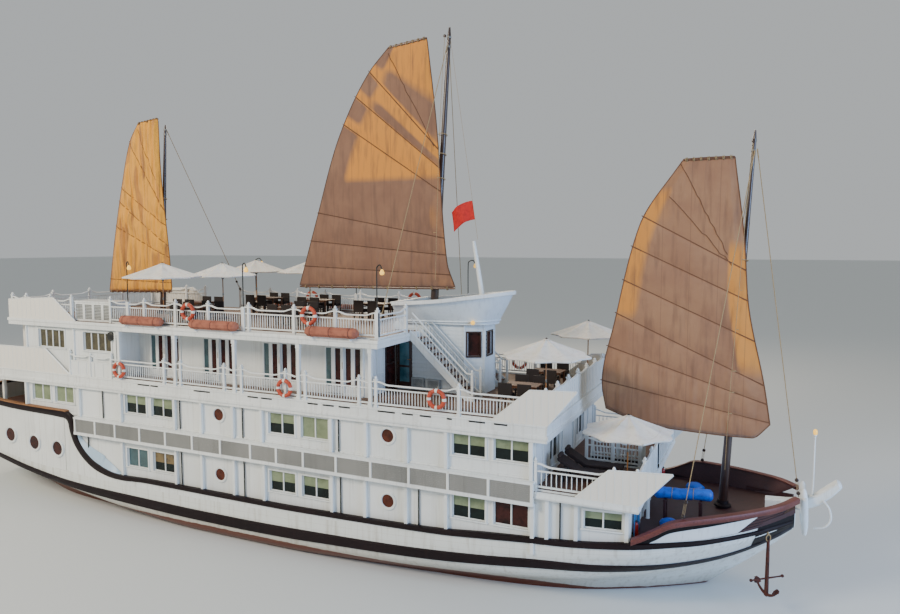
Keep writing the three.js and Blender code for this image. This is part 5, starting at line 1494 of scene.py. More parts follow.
endPairs = []
for y in (-1.78, 1.78):
    endPairs += fitted(glazedDoor(y, 1.14, 3.98, 5.43), (10.15, 0), (0, 1))
endPairs += [(whitePaint, slab((10.15, 10.2), (y - 0.06, y + 0.06), (terraceZ, 5.57))) for y in
             (-3.98, -3.1, -0.75, 0.75, 3.1, 3.98)]
endPairs += fitted(glazedDoor(0, 0.9, 2.35, 3.495, leaves=1), (13.1, 0), (0, 1))
endPairs += [(whitePaint, slab((13.1, 13.15), (y - 0.05, y + 0.05), (2.4, 3.64))) for y in
             (-3.62, -2.6, -1.9, -1.2, 1.2, 1.9, 2.6, 3.62)]
endPairs += [(bluePlanks, slab((13.15, 13.19), (y, y + 0.3), (2.42, 3.6))) for y in (-3.1, -2.45)]
endPairs += [(whitePaint, turned((13.32, y, 2.36), [(0.075, 0), (0.075, 0.1), (0.055, 0.13), (0.055, 1.15),
                                                    (0.085, 1.24), (0.085, 1.29)], 16))
             for y in (-1.35, 1.35)]
endPairs += fitted(glazedDoor(0, 0.9, 3.99, 5.4, doorTimber), (-14.0, 0), (0, -1))
endPairs += fitted(glazedDoor(0, 1.2, 6.045, 7.965, doorTimber), (-14.0, 0), (0, -1))
endPairs.append((whitePaint, slab((-14.0, -13.88), (-0.45, 0.45), (5.4, 5.578))))
for centre in (-12.31, -9.43):
    endPairs += bothPairs(fitted(windowUnit(centre - 0.84, centre + 0.84, 7.095, 7.905, "shade", 4),
                                 (0, -4.045), (1, 0)))
endPairs += bothPairs([(whitePaint, slab((x - 0.1, x), (-4.11, -4.04), (5.99, 8.06)))
                       for x in (-13.9, -10.8, -8.25)])
fan = turned((-8.55, -4.05, 7.79), [(0.17, 0), (0.19, 0.02), (0.19, 0.08), (0.15, 0.1), (0.03, 0.11)], 20,
             (0, -1, 0))
endPairs += bothPairs([(lampIron, fan)])
makePiece("houseEnds", "ship", grouped(endPairs), bevel=0.004, smooth=35)

# Balcony wall: the fixed lights beside the sliding leaves, and an unlit cabin behind them
balcony = {"places": [-6.74, -3.78, -0.68, 2.25], "low": 6.06, "high": 7.95, "wall": -2.9}
fixedPairs, cabinPairs = [], []
for x in balcony["places"]:
    u0, u1, low, high = x + 0.06, x + 0.8, 6.24, 7.84
    fixedPairs += fitted(
        [(whitePaint, slab((u0, u1), (-0.1, -0.02), zs)) for zs in ((low, low + 0.08), (high - 0.06, high))]
        + [(whitePaint, slab(us, (-0.1, -0.02), (low + 0.08, high - 0.06))) for us in
           ((u0, x + 0.1), (x + 0.34, x + 0.51), (x + 0.75, u1))]
        + [(redGlass, slab(us, (-0.07, -0.055), (low + 0.06, high - 0.04)))
           for us in ((x + 0.09, x + 0.35), (x + 0.5, x + 0.76))],
        (0, balcony["wall"]), (1, 0))
    fixedPairs += fitted([(whitePaint, slab((x - 0.92, x + 0.92), (0.0, 0.05), (8.0, 8.065))),
                          (whitePaint, slab((x + 0.86, x + 0.93), (0.0, 0.04), (6.0, 8.0)))],
                         (0, balcony["wall"]), (1, 0))
    cabinPairs.append((cabinDark, slab((x - 0.95, x + 0.9), (-2.3, -2.28), (5.99, 8.06))))
    cabinPairs += [(cabinDark, slab((a, a + 0.02), (-2.77, -2.3), (5.99, 8.06)))
                   for a in (x - 0.95, x + 0.88)]
makePiece("balconyLights", "ship", grouped(bothPairs(fixedPairs)), bevel=0.004, smooth=35)
makePiece("unlitCabins", "ship", grouped(bothPairs(cabinPairs)), smooth=0)
for side in sides:
    for index, x in enumerate(balcony["places"]):
        a, b, low, high = x - 0.84, x + 0.06, balcony["low"], balcony["high"]
        leaf = [(whitePaint, slab(us, (0.012, 0.062), (low, high)))
                for us in ((a, x - 0.72), (x - 0.48, x - 0.31), (x - 0.07, b))]
        for u0, u1, glass in ((x - 0.72, x - 0.48, blindOf["teal"]), (x - 0.31, x - 0.07, redGlass)):
            leaf += [(whitePaint, slab((u0, u1), (0.012, 0.062), zs))
                     for zs in ((low, low + 0.26), (high - 0.17, high))]
            leaf.append((glass, slab((u0, u1), (0.03, 0.042), (low + 0.26, high - 0.17))))
        leaf.append((bronze, tube([(b - 0.035, 0.07, low + 0.95), (b - 0.035, 0.085, low + 1.0),
                                   (b - 0.035, 0.085, low + 1.15), (b - 0.035, 0.07, low + 1.2)], 0.008, 6)))
        name = "balcony_door_" + sideNames[side] + "_" + str(index + 1)
        shapes = sidePairs(side, fitted(leaf, (0, balcony["wall"]), (1, 0)))
        makePiece("slidingLeaf_" + sideNames[side] + "_" + str(index + 1), name,
                  grouped(shapes),
                  replaced=(name,), bevel=0.005, smooth=35)
print("doors and cabin ends made")


# Rails: posts with domed caps, a handrail that dips between them, a plain rail, and balusters to a low rail
railing = {
    "hand": 0.9, "dip": 0.1, "dipRun": 0.42, "plain": 0.65, "low": 0.15, "gap": 0.112, "post": 0.05,
    "crown": 0.98,
    "handSection": [(-0.045, 0.0), (0.045, 0.0), (0.045, 0.028), (0.022, 0.046), (-0.022, 0.046),
                    (-0.045, 0.028)],
}
baluster = turned((0, 0, -1), [(0.012, 0), (0.012, 0.1), (0.017, 0.2), (0.017, 0.8), (0.012, 0.9),
                               (0.012, 1)], 8)


def postShapes(x, y, floor, crown=railing["crown"], half=railing["post"]):
    return [post(x, y, half, (floor, floor + crown)),
            post(x, y, half + 0.012, (floor, floor + 0.1)),
            post(x, y, half + 0.018, (floor + crown, floor + crown + 0.03)),
            turned((x, y, floor + crown + 0.03), [(half * 0.75, 0), (half * 1.05, 0.03), (half * 0.9, 0.07),
                                                  (half * 0.4, 0.1), (0.004, 0.108)], 12)]


def railRun(start, end, floor, posts, bare=(), tall=0.0, gap=railing["gap"]):
    length = math.dist(start, end)
    heading = ((end[0] - start[0]) / length, (end[1] - start[1]) / length)
    top = floor + railing["hand"] + tall

    def lift(t):
        away = min(abs(t - p) for p in posts) if posts else 9
        share = min(max((away - 0.08) / railing["dipRun"], 0), 1)
        return top - railing["dip"] * share * share * (3 - 2 * share)

    count = max(int(length / 0.12), 2)
    rings = [[(t, v, lift(t) + z) for v, z in railing["handSection"]] for t in spread(0, length, count + 1)]
    local = [loft(rings),
             slab((0, length), (-0.026, 0.026),
                  (floor + railing["plain"] + tall, floor + railing["plain"] + tall + 0.045)),
             slab((0, length), (-0.03, 0.03),
                  (floor + railing["low"] - 0.03, floor + railing["low"] + 0.025)),
             slab((0, length), (-0.02, 0.02), (floor, floor + 0.06))]
    shapes = [shape for material, shape in fitted([(whitePaint, s) for s in local], start, heading)]
    for t in posts:
        shapes += postShapes(start[0] + heading[0] * t, start[1] + heading[1] * t, floor,
                             railing["crown"] + tall)
    cuts = sorted([0, *[edge for pair in bare for edge in pair], length])
    runs = [(a + 0.05, b - 0.05) for a, b in zip(cuts[::2], cuts[1::2]) if b - a > 0.3]
    level = floor + railing["plain"] + tall
    lines = [[(start[0] + heading[0] * t, start[1] + heading[1] * t, level) for t in run] for run in runs]
    return shapes + [unitsAlong(lines, baluster, gap, whitePaint, floor + railing["low"])]


balconyRow = {
    "y": -4.115, "floor": promenadeZ, "aft": -8.55, "fore": 9.75,
    "posts": [-5.54, -4.65, -2.41, -1.55, 0.52, 1.41, 3.71, 4.4, 7.56],
    "bare": [(-5.54, -4.65), (-2.41, -1.55), (0.52, 1.41), (3.71, 4.4)],
    "columns": [-8.05, -4.93, -1.88, 1.13, 4.18],
    "panelled": (-11.08, -8.55),
    "scuppers": [(-6.94, -6.3), (-6.22, -5.82), (-3.89, -3.07), (-1.2, -0.7), (-0.55, -0.05), (1.57, 2.01),
                 (2.23, 2.7),
                 (2.91, 3.38), (4.52, 5.2), (5.47, 5.89), (6.16, 6.58), (7.17, 7.35), (7.96, 8.53),
                 (8.85, 9.3)],
}
row = balconyRow
aft, fore, y, floor = row["aft"], row["fore"], row["y"], row["floor"]
starboardRail = railRun((aft, y), (fore, y), floor, [x - aft for x in row["posts"]],
                        [(a - aft, b - aft) for a, b in row["bare"]])
starboardRail += postShapes(aft, y, floor)
for x in row["columns"]:
    starboardRail += [post(x, y, 0.06, (floor, 8.07)),
                      post(x, y, 0.08, (floor, floor + 0.12)),
                      slab((x - 0.085, x + 0.085), (y - 0.08, y + 0.08), (7.88, 8.07)),
                      post(x, y, 0.075, (7.78, 7.81))]
a, b = row["panelled"]
starboardRail += [slab((a, b), (y - 0.02, y + 0.02), (floor, floor + 0.62)),
                  slab((a, b), (y - 0.035, y + 0.035), (floor + 0.6, floor + 0.65))]
starboardRail += [slab((x - 0.03, x + 0.03), (y - 0.035, y), (floor + 0.04, floor + 0.6))
                  for x in spread(a, b, 6)]
starboardRail += postShapes(a, y, floor, 1.0) + postShapes((a + b) / 2, y, floor, 0.9)
rings = []
for t in spread(0, b - a, 22):
    share = min(min(t, abs(t - (b - a) / 2), b - a - t) / 0.42, 1)
    rings.append([(a + t, y + v, floor + 0.9 - 0.1 * share * share * (3 - 2 * share) + z)
                  for v, z in railing["handSection"]])
starboardRail.append(loft(rings))
dashes = [slab(span, (-4.226, -4.2), (5.868, 5.912)) for span in row["scuppers"]]
for side in sides:
    makePiece("balconyRail_" + sideNames[side], "ship",
              [(whitePaint, onSide(side, starboardRail)), (cabinDark, onSide(side, dashes))],
              replaced=("balcony_rail_" + sideNames[side],), smooth=35)

# Sun deck: rails round the sides and the stern, and short ones beside the stairs
sunRow = {"y": 4.03, "aft": -14.84, "fore": 4.44, "floor": sunDeckZ, "inner": 1.96, "tall": 0.02,
          "lockerAft": -10.94, "lockerFore": -8.56,
          "posts": [-13.9, -12.3, -6.6, -4.9, -3.2, -1.2, 0.9, 2.7]}
row = sunRow
sunShapes = []
for a, b in ((row["aft"], row["lockerAft"]), (row["lockerFore"], row["fore"])):
    sunShapes += railRun((a, -row["y"]), (b, -row["y"]), row["floor"],
                         [0] + [x - a for x in row["posts"] if a + 0.1 < x < b - 0.1] + [b - a],
                         tall=row["tall"])
sunShapes += railRun((row["fore"], -row["y"]), (row["fore"], -row["inner"]), row["floor"],
                     [row["y"] - row["inner"]], tall=row["tall"])
sunShapes = bothSides(sunShapes)
sunShapes += railRun((row["aft"], row["y"]), (row["aft"], -row["y"]), row["floor"], [2.0, 4.03, 6.06],
                     tall=row["tall"])
bareStrip = bothSides([slab((-14.9, 4.5), (-4.19, -4.08), (8.35, 8.36))])
makePiece("sunDeckRail", "ship", [(whitePaint, sunShapes), (foreDeckBoards, bareStrip)],
          replaced=("sun_deck_rail",), smooth=35)

# Cap of a front screen, sagging between three posts on each side
def saggingCap(x, y, top, sag):
    return loft([[(x + v, y - y * t, top - sag * abs(math.sin(t * math.pi * 3)) + z)
                  for v, z in railing["handSection"]] for t in spread(0, 1, 40)])


# Terrace: side rails, a boarded front screen with a sagging cap, and rails round the companionway
terraceSide = railRun((10.2, -4.08), (12.75, -4.08), terraceZ, [0.02, 2.5], tall=-0.02, gap=0.16)
screen = [slab((13.355, 13.4), (-4.08, 0), (terraceZ, 4.7))]
screen += [slab((13.4, 13.42), (y - 0.03, y + 0.03), (3.86, 4.68)) for y in spread(-3.9, -0.15, 20)]
screen += [shape for y in (-4.05, -2.7, -1.35) for shape in postShapes(13.39, y, terraceZ, 0.98)]
screen += postShapes(13.39, 0.0, terraceZ, 0.98)
screen.append(saggingCap(13.385, -4.05, 4.74, 0.05))
makePiece("terraceRail", "ship", [(whitePaint, bothSides(terraceSide + screen))],
          replaced=("terrace_rail",), smooth=35)
wayShapes = bothSides(railRun((10.98, -0.46), (12.86, -0.46), terraceZ, [0, 0.94, 1.88], tall=-0.02))
wayShapes += railRun((12.86, -0.46), (12.86, 0.46), terraceZ, [], tall=-0.02)
treads = [slab((11.1 + 0.26 * k, 11.42 + 0.26 * k), (-0.39, 0.39), (3.62 - 0.21 * k, 3.66 - 0.21 * k))
          for k in range(6)]
strings = [prism([(11.0, 3.8), (11.2, 3.8), (12.9, 2.42), (12.65, 2.42)], y, y + 0.03) for y in (-0.4, 0.37)]
# The well's sides are near black: painted shade down in the companionway well
wellSides = [slab((10.94, 12.81), (y, y + 0.012), (2.4, 3.83)) for y in (-0.4, 0.388)]
wellSides += [slab((x, x + 0.012), (-0.388, 0.388), (2.4, 3.83)) for x in (10.94, 12.798)]
makePiece("companionwayRail", "ship",
          [(whitePaint, wayShapes), (innerTimber, treads + strings), (darkPaint, wellSides)],
          replaced=("companionway_rail",), smooth=35)

# Corner bulwarks: boards, a cap along the sloping edge; and the promenade's front screen with its sagging cap
cornerShapes = []
corners = [([(11.54, terraceZ), (12.55, 4.82), (14.43, 4.94), (13.45, terraceZ)], 0.24),
           ([(8.73, 5.98), (10.02, 7.07), (11.55, 7.14), (10.6, 5.98)], 0.24),
           ([(-17.2, 5.98), (-17.2, 7.0), (-12.6, 7.03), (-11.1, 5.98)], 0.3),
           ([(-14.9, 8.36), (-14.9, 9.18), (-11.95, 9.33), (-10.6, 8.36)], 0.3)]
for outline, board in corners:
    path = [(x, -4.165, z) for x, z in outline]
    cornerShapes += [tube([a, b], 0.035, 6) for a, b in zip(path, path[1:])]
    low, high = min(p[0] for p in outline), max(p[0] for p in outline)
    x = low + board
    while x < high - 0.05:
        spans = []
        for (x0, z0), (x1, z1) in zip(outline, outline[1:] + outline[:1]):
            if min(x0, x1) <= x <= max(x0, x1) and abs(x1 - x0) > 1e-6:
                spans.append(z0 + (z1 - z0) * (x - x0) / (x1 - x0))
        if len(spans) > 1 and max(spans) - min(spans) > 0.08:
            cornerShapes.append(slab((x - 0.008, x + 0.008), (-4.206, -4.19), (min(spans), max(spans))))
        x += board
front = [shape for y in (-4.0, -2.67, -1.33) for shape in postShapes(10.5, y, promenadeZ, 1.05)]
front.append(saggingCap(10.505, -4.0, 6.95, 0.06))
front += [slab((10.54, 10.56), (y - 0.025, y + 0.025), (6.0, 6.9)) for y in spread(-3.85, -0.15, 16)]
makePiece("cornerBulwarks", "ship",
          [(whitePaint, bothSides(cornerShapes + front) + postShapes(10.5, 0, promenadeZ, 1.05))], smooth=35)
print("rails and bulwarks made")


# Wheelhouse: lapped boards, dark window frames, a closed door beside the casing, and its flared roof
wheel = {"knee": (6.35, -0.85), "fore": (7.02, -0.52), "foot": 6.0, "top": 8.62, "course": 0.15,
         "door": (3.48, 4.07, 7.96), "glass": (7.46, 8.34)}
tealGlass = mottled("tealDoorGlass", "#4E7F8D", "#33606E", 0.12, scale=2.0, pits=0.0)
# The wheelhouse's boards take the white with painted shade
clad(houseWhiteWithPaintedShade, "wheelhouse")


def lap(u0, u1, z, tall):
    return loft([[(u, -0.004, z), (u, 0.02, z), (u, 0.005, z + tall), (u, -0.004, z + tall)]
                 for u in (u0, u1)])


def darkFrame(u0, u1, low, high):
    wide, back = 0.055, -0.07
    pairs = [(doorTimber, slab((u0 - wide, u1 + wide), (-0.02, 0.04), zs))
             for zs in ((low - wide, low), (high, high + wide))]
    pairs += [(doorTimber, slab((a, a + wide), (-0.02, 0.04), (low, high))) for a in (u0 - wide, u1)]
    return pairs + [(redGlass, slab((u0 - 0.01, u1 + 0.01), (back, back + 0.012), (low - 0.01, high + 0.01)))]


chamferLength = math.dist(wheel["knee"], wheel["fore"])
chamfer = ((wheel["fore"][0] - wheel["knee"][0]) / chamferLength,
           (wheel["fore"][1] - wheel["knee"][1]) / chamferLength)
doorAft, doorFore, doorTop = wheel["door"]
low, high = wheel["glass"]
wheelPairs = []
for k in range(int((wheel["top"] - wheel["foot"]) / wheel["course"])):
    z = wheel["foot"] + k * wheel["course"]
    tall = wheel["course"] - 0.004
    for a, b in ([(3.36, doorAft - 0.06), (doorFore + 0.06, 6.35)] if z < doorTop else [(3.36, 6.35)]):
        wheelPairs += fitted([(houseWhiteWithPaintedShade, lap(a, b, z, tall))], (0, -0.85), (1, 0))
    glazed = low - 0.2 < z < high + 0.06
    for a, b in ([(0.0, 0.06), (0.645, chamferLength)] if glazed else [(0.0, chamferLength)]):
        wheelPairs += fitted([(houseWhiteWithPaintedShade, lap(a, b, z, tall))], wheel["knee"], chamfer)
    for a, b in ([(-0.52, -0.34)] if glazed else [(-0.52, 0.0)]):
        wheelPairs += fitted([(houseWhiteWithPaintedShade, lap(a, b, z, tall))], (7.02, 0), (0, 1))
wheelPairs += fitted(darkFrame(0.115, 0.59, low, high), wheel["knee"], chamfer)
wheelPairs += fitted([(houseWhiteWithPaintedShade, slab((u - 0.035, u + 0.035), (-0.01, 0.03), (wheel["foot"], wheel["top"])))
                      for u in (0.0, chamferLength)], wheel["knee"], chamfer)
wheelPairs += fitted([(doorTimber, slab((a, a + 0.06), (-0.01, 0.035), (6.0, doorTop + 0.05)))
                      for a in (doorAft - 0.06, doorFore)]
                     + [(doorTimber, slab((doorAft, doorFore), (-0.01, 0.035), (doorTop, doorTop + 0.06)))],
                     (0, -0.85), (1, 0))
wheelPairs += fitted([(doorTimber, slab((a, a + 0.09), (0, 0.045), (6.0, 7.95))) for a in (-1.66, -0.96)]
                     + [(doorTimber, slab((-1.57, -0.96), (0, 0.045), zs))
                        for zs in ((6.0, 6.3), (7.0, 7.08), (7.86, 7.95))]
                     + [(redGlass, slab((-1.57, -0.96), (0, 0.02), (6.3, 7.86)))], (3.35, 0), (0, 1))
wheelPairs += [(whitePaint, slab((3.35, 3.39), (-2.88, -1.7), (z, z + 0.07))) for z in (6.0, 6.7, 7.95)]
wheelPairs += [(whitePaint, slab((3.35, 3.385), (y, y + 0.07), (6.07, 7.95))) for y in (-2.88, -2.32, -1.77)]
for u0, u1, z0, z1 in ((4.15, 4.68, 6.02, 6.5), (4.82, 5.36, 6.02, 6.48)):
    wheelPairs.append((boxGrey, slab((u0, u1), (-0.98, -0.87), (z0, z1))))
    wheelPairs += [(lampIron, slab((u0 + 0.05, u1 - 0.05), (-0.988, -0.98), (z, z + 0.012)))
                   for z in spread(z0 + 0.07, z1 - 0.08, 9)]
wheelPairs = bothPairs(wheelPairs) + fitted(darkFrame(-0.28, 0.28, low, high), (7.02, 0), (0, 1))
makePiece("wheelhouseBoards", "ship", grouped(wheelPairs), bevel=0.004, smooth=35)

for side in sides:
    a, b, low, high = 3.49, 4.06, 6.055, 7.95
    leaf = [(doorTimber, slab((u, u + 0.07), (-0.045, 0.0), (low, high))) for u in (a, b - 0.07)]
    leaf += [(doorTimber, slab((a + 0.07, b - 0.07), (-0.045, 0.0), zs)) for zs in
             ((low, low + 0.22), (low + 0.8, low + 0.88), (high - 0.1, high))]
    leaf += [(tealGlass, slab((a + 0.07, b - 0.07), (-0.03, -0.018), (low + 0.22, high - 0.1))),
             (bronze, tube([(b - 0.035, 0.0, low + 1.12), (b - 0.035, 0.03, low + 1.12),
                            (b - 0.14, 0.03, low + 1.12)], 0.01, 8)),
             (bronze, turned((b - 0.035, 0.0, low + 1.12), [(0.028, 0.0), (0.028, 0.008)], 12, (0, 1, 0)))]
    leaf += [(bronze, tube([(a, 0.0, z), (a, 0.0, z + 0.09)], 0.006, 8))
             for z in (low + 0.2, low + 0.9, high - 0.3)]
    name = "casing_door_" + sideNames[side]
    shapes = sidePairs(side, fitted(leaf, (0, -0.85), (1, 0)))
    makePiece("casingLeaf_" + sideNames[side], name, grouped(shapes), replaced=(name,),
              bevel=0.004, smooth=35)

roof = {  # x and half-breadth at the foot, then x, half-breadth and height at the rim
    "rows": [(3.7, 0.95, 3.6, 1.5, 9.43), (4.6, 0.95, 4.6, 1.53, 9.5), (5.6, 0.95, 5.6, 1.48, 9.585),
             (6.4, 0.92, 6.6, 1.25, 9.71),
             (6.95, 0.72, 7.35, 0.86, 9.8), (7.24, 0.36, 7.8, 0.42, 9.86), (7.33, 0.06, 8.01, 0.06, 9.885)],
    "foot": 8.645, "wall": 0.06, "tray": 8.78,
}
feet = smoothPath([(x, -half, roof["foot"]) for x, half, *_ in roof["rows"]], 6)
rims = smoothPath([(x, -half, z) for *_, x, half, z in roof["rows"]], 6)
flare = []
for i, (foot, rim) in enumerate(zip(feet, rims)):
    ahead = rims[min(i + 1, len(rims) - 1)] - rims[max(i - 1, 0)]
    inward = Vector((-ahead.y, ahead.x, 0)).normalized()
    flare.append((foot, rim, inward))
flare += [(Vector((f.x, -f.y, f.z)), Vector((r.x, -r.y, r.z)), Vector((w.x, -w.y, 0)))
          for f, r, w in reversed(flare)]


def flareAt(foot, rim, t):
    return foot + (rim - foot) * t + Vector((0, 0, -0.05 * math.sin(math.pi * t)))


shell = loft([[*(flareAt(f, r, t) for t in (0, 0.2, 0.4, 0.6, 0.8, 1.0)),
               *(flareAt(f, r, t) + w * roof["wall"] for t in (1.0, 0.75, 0.5, 0.25, 0.0))]
              for f, r, w in flare])
rimCap = edgeLoft([(r, w) for f, r, w in flare],
                  [(-0.05, -0.1), (-0.065, -0.08), (-0.065, 0.03), (-0.04, 0.05), (0.09, 0.05),
                   (0.105, 0.03), (0.105, -0.02), (0.0, -0.1)])
beads = [edgeLoft([(flareAt(f, r, t), w) for f, r, w in flare],
                  [(0.02, -0.035), (-0.03, -0.03), (-0.045, 0.0), (-0.03, 0.03),
                  (0.02, 0.035)]) for t in (0.03, 0.14)]
tray = loft([[(f.x, f.y, z) for f, r, w in flare] for z in (roof["foot"], roof["tray"])])
sternBoard = loft([[(3.62, -1.02, 8.65), (3.56, -1.5, 9.43), (3.56, 1.5, 9.43), (3.62, 1.02, 8.65)],
                   [(3.7, -1.02, 8.65), (3.64, -1.5, 9.43), (3.64, 1.5, 9.43), (3.7, 1.02, 8.65)]])
sternCap = slab((3.53, 3.69), (-1.54, 1.54), (9.42, 9.48))
roofLamps = [turned((6.75, s * 0.99, 8.7),
                    [(0.03, -0.02), (0.07, 0.0), (0.085, 0.06), (0.06, 0.12), (0.03, 0.14)], 16)
             for s in sides]
flagPole = turned((6.88, 0, 8.78), [(0.11, 0), (0.1, 0.6), (0.08, 2.4), (0.06, 3.06)], 16, (-0.17, 0, 1))
# The roof's shell, beads, tray and stern board take the white with painted shade; its rim keeps the plain
# white
makePiece("wheelhouseRoof", "ship",
          [(houseWhiteWithPaintedShade, [shell, *beads, tray, sternBoard]), (whitePaint, [rimCap, sternCap, flagPole]),
           (lampGlass, roofLamps)],
          replaced=("wheelhouse_roof",), bevel=0.004, smooth=35)
print("wheelhouse made")

# Stairs from the promenade to the sun deck
stairs = {"foot": (7.02, promenadeZ), "head": (4.54, 8.355), "y": (-1.84, -1.02), "treads": 11, "hand": 0.86}
(fx, fz), (hx, hz) = stairs["foot"], stairs["head"]
slope = (hz - fz) / (hx - fx)


def slopeLine(x, up):
    return fz + (x - fx) * slope + up


outer, inner = stairs["y"]
stairPairs = []
for y in (outer, inner):
    stairPairs.append((whitePaint, prism([(fx + 0.1, fz), (fx + 0.02, fz + 0.2), (hx + 0.02, hz + 0.14),
                                          (hx - 0.06, hz - 0.18),
                                          (fx - 0.22, fz)], y - 0.022, y + 0.022)))
    # The stair's inner strings take the white with painted shade
    stairPairs.append((houseWhiteWithPaintedShade, prism([(fx - 0.02, fz + 0.18), (hx + 0.06, hz + 0.1), (hx, hz + 0.07),
                                          (fx - 0.06, fz + 0.14)],
                                         y - 0.034, y + 0.034)))
    rail = [(fx + 0.02, y, fz + 0.98), (fx - 0.15, y, slopeLine(fx - 0.15, stairs["hand"]))]
    rail += [(x, y, slopeLine(x, stairs["hand"])) for x in spread(fx - 0.5, hx + 0.1, 6)]
    stairPairs.append((whitePaint, tube(rail, 0.034, 8)))
    stairPairs.append((whitePaint, tube([(fx - 0.05, y, slopeLine(fx - 0.05, 0.62)),
                                         (hx + 0.06, y, slopeLine(hx + 0.06, 0.62))], 0.022, 6)))
    for x in spread(fx - 0.14, hx + 0.14, 17):
        stairPairs.append((whitePaint, post(x, y, 0.014, (slopeLine(x, 0.12), slopeLine(x, 0.62)))))
    stairPairs += [(whitePaint, shape) for shape in postShapes(fx + 0.07, y, fz, 1.02, 0.045)]
rise, run = (hz - fz) / (stairs["treads"] + 1), (hx - fx) / (stairs["treads"] + 1)
for k in range(stairs["treads"]):
    x, z = fx + run * (k + 0.7), fz + rise * (k + 1)
    stairPairs.append((tableTimber, slab((x - 0.14, x + 0.13), (outer + 0.03, inner - 0.03), (z - 0.035, z))))
for side in sides:
    name = "stair_" + sideNames[side]
    makePiece("stairway_" + sideNames[side], "ship",
              grouped(sidePairs(side, stairPairs)), replaced=(name,), bevel=0.004, smooth=35)

# Louvred locker at the sun deck's aft corner
lx, ly, lz = (-10.88, -8.62), (-3.94, -3.0), (sunDeckZ, 9.23)
lockerPairs = [(whitePaint, slab((lx[0] + 0.02, lx[1] - 0.02), (ly[0] + 0.03, ly[1]), (lz[0], lz[1] - 0.06))),
               (whitePaint, slab((lx[0] - 0.02, lx[1] + 0.02), (ly[0] - 0.02, ly[1] + 0.02),
                                 (lz[1] - 0.06, lz[1])))]
for a, b in zip(spread(lx[0], lx[1], 5), spread(lx[0], lx[1], 5)[1:]):
    for yFace in (ly[0], ly[1] - 0.03):
        lockerPairs += [(whitePaint, slab((u, u + 0.07), (yFace, yFace + 0.03), (lz[0], lz[1] - 0.06)))
                        for u in (a, b - 0.07)]
        lockerPairs += [(whitePaint, slab((a + 0.07, b - 0.07), (yFace, yFace + 0.03), zs)) for zs in
                        ((lz[0], lz[0] + 0.09), (lz[1] - 0.15, lz[1] - 0.06))]
    lockerPairs += [(greyPaint, slat(a + 0.07, b - 0.07, [(ly[0] + 0.002, z), (ly[0] + 0.03, z + 0.03),
                                                          (ly[0] + 0.03, z + 0.042),
                                                          (ly[0] + 0.002, z + 0.012)]))
                    for z in spread(lz[0] + 0.1, lz[1] - 0.2, 10)]
makePiece("louvredLocker", "ship", grouped(lockerPairs), replaced=("locker",), bevel=0.004,
          smooth=35)

# Raft pods lashed along the sun deck's edge, on their shelf
pods = {"spans": [(-7.67, -5.37), (-3.9, -1.52), (1.6, 3.81)], "y": -4.31, "z": 8.565, "wide": 0.215,
        "tall": 0.195}
podShapes, straps = [], []


def podRing(x, share=1.0, more=0.0):
    return [(x, pods["y"] + (pods["wide"] * share + more) * math.cos(t),
             pods["z"] + (pods["tall"] * share + more) * math.sin(t)) for t in turns(8, 0.5)]


for a, b in pods["spans"]:
    half = [(0, 0.35), (0.03, 0.62), (0.13, 0.97), (0.2, 1.0)]
    podShapes.append(loft([podRing(a + off, share) for off, share in half] + [podRing((a + b) / 2)]
                          + [podRing(b - off, share) for off, share in half[::-1]]))
    straps += [loft([podRing(u, more=0.006) for u in (x - 0.02, x + 0.02)])
               for x in spread(a + 0.3, b - 0.3, 3)]
shelf = [slab((-8.1, 4.2), (-4.26, -4.15), (sunDeckZ, 8.375))]
shelf += [slab((x - 0.03, x + 0.03), (-4.4, -4.15), (8.3, 8.36)) for a, b in pods["spans"]
          for x in (a + 0.3, b - 0.3)]
for side in sides:
    makePiece("raftPods_" + sideNames[side], "ship",
              [(raftCloth, onSide(side, podShapes)), (capTimber, onSide(side, straps)),
               (whitePaint, onSide(side, shelf))],
              replaced=("liferafts_" + sideNames[side],), bevel=0.006, smooth=25)

# Lifebuoys hung on the rails
buoys = {"places": [(-7.96, -4.25, 6.42), (0.56, -4.25, 6.37), (6.8, -4.25, 6.52), (-4.13, -4.17, 9.02),
                    (1.64, -4.17, 9.1)],
         "radius": 0.285, "thick": 0.072}
bands, shells, lines = [], [], []
for x, y, z in buoys["places"]:
    for quarterTurn in turns(4):
        for shapes, arc, more in ((shells, spread(9, 81, 9), 0), (bands, spread(-9, 9, 4), 0.004)):
            arc = [quarterTurn + math.radians(d) for d in arc]
            path = [(x + buoys["radius"] * math.cos(a), y, z + buoys["radius"] * math.sin(a)) for a in arc]
            shapes.append(tube(path, buoys["thick"] + more, 12))
    lines.append(tube([(x, y + 0.02, z + buoys["radius"]), (x, y + 0.1, z + buoys["radius"] + 0.12)], 0.008,
                      6))
makePiece("lifebuoys", "ship",
          [(ringOrange, bothSides(shells)), (ringWhite, bothSides(bands)), (rope, bothSides(lines))],
          smooth=50)
print("stairs, rafts and lifebuoys made")


# Tables and chairs under the parasols, loungers on the terrace
def placed(shapes, x, y, turnBy, floor):
    c, s = math.cos(turnBy), math.sin(turnBy)
    return [([(x + u * c - v * s, y + u * s + v * c, floor + z) for u, v, z in points], faces)
            for points, faces in shapes]


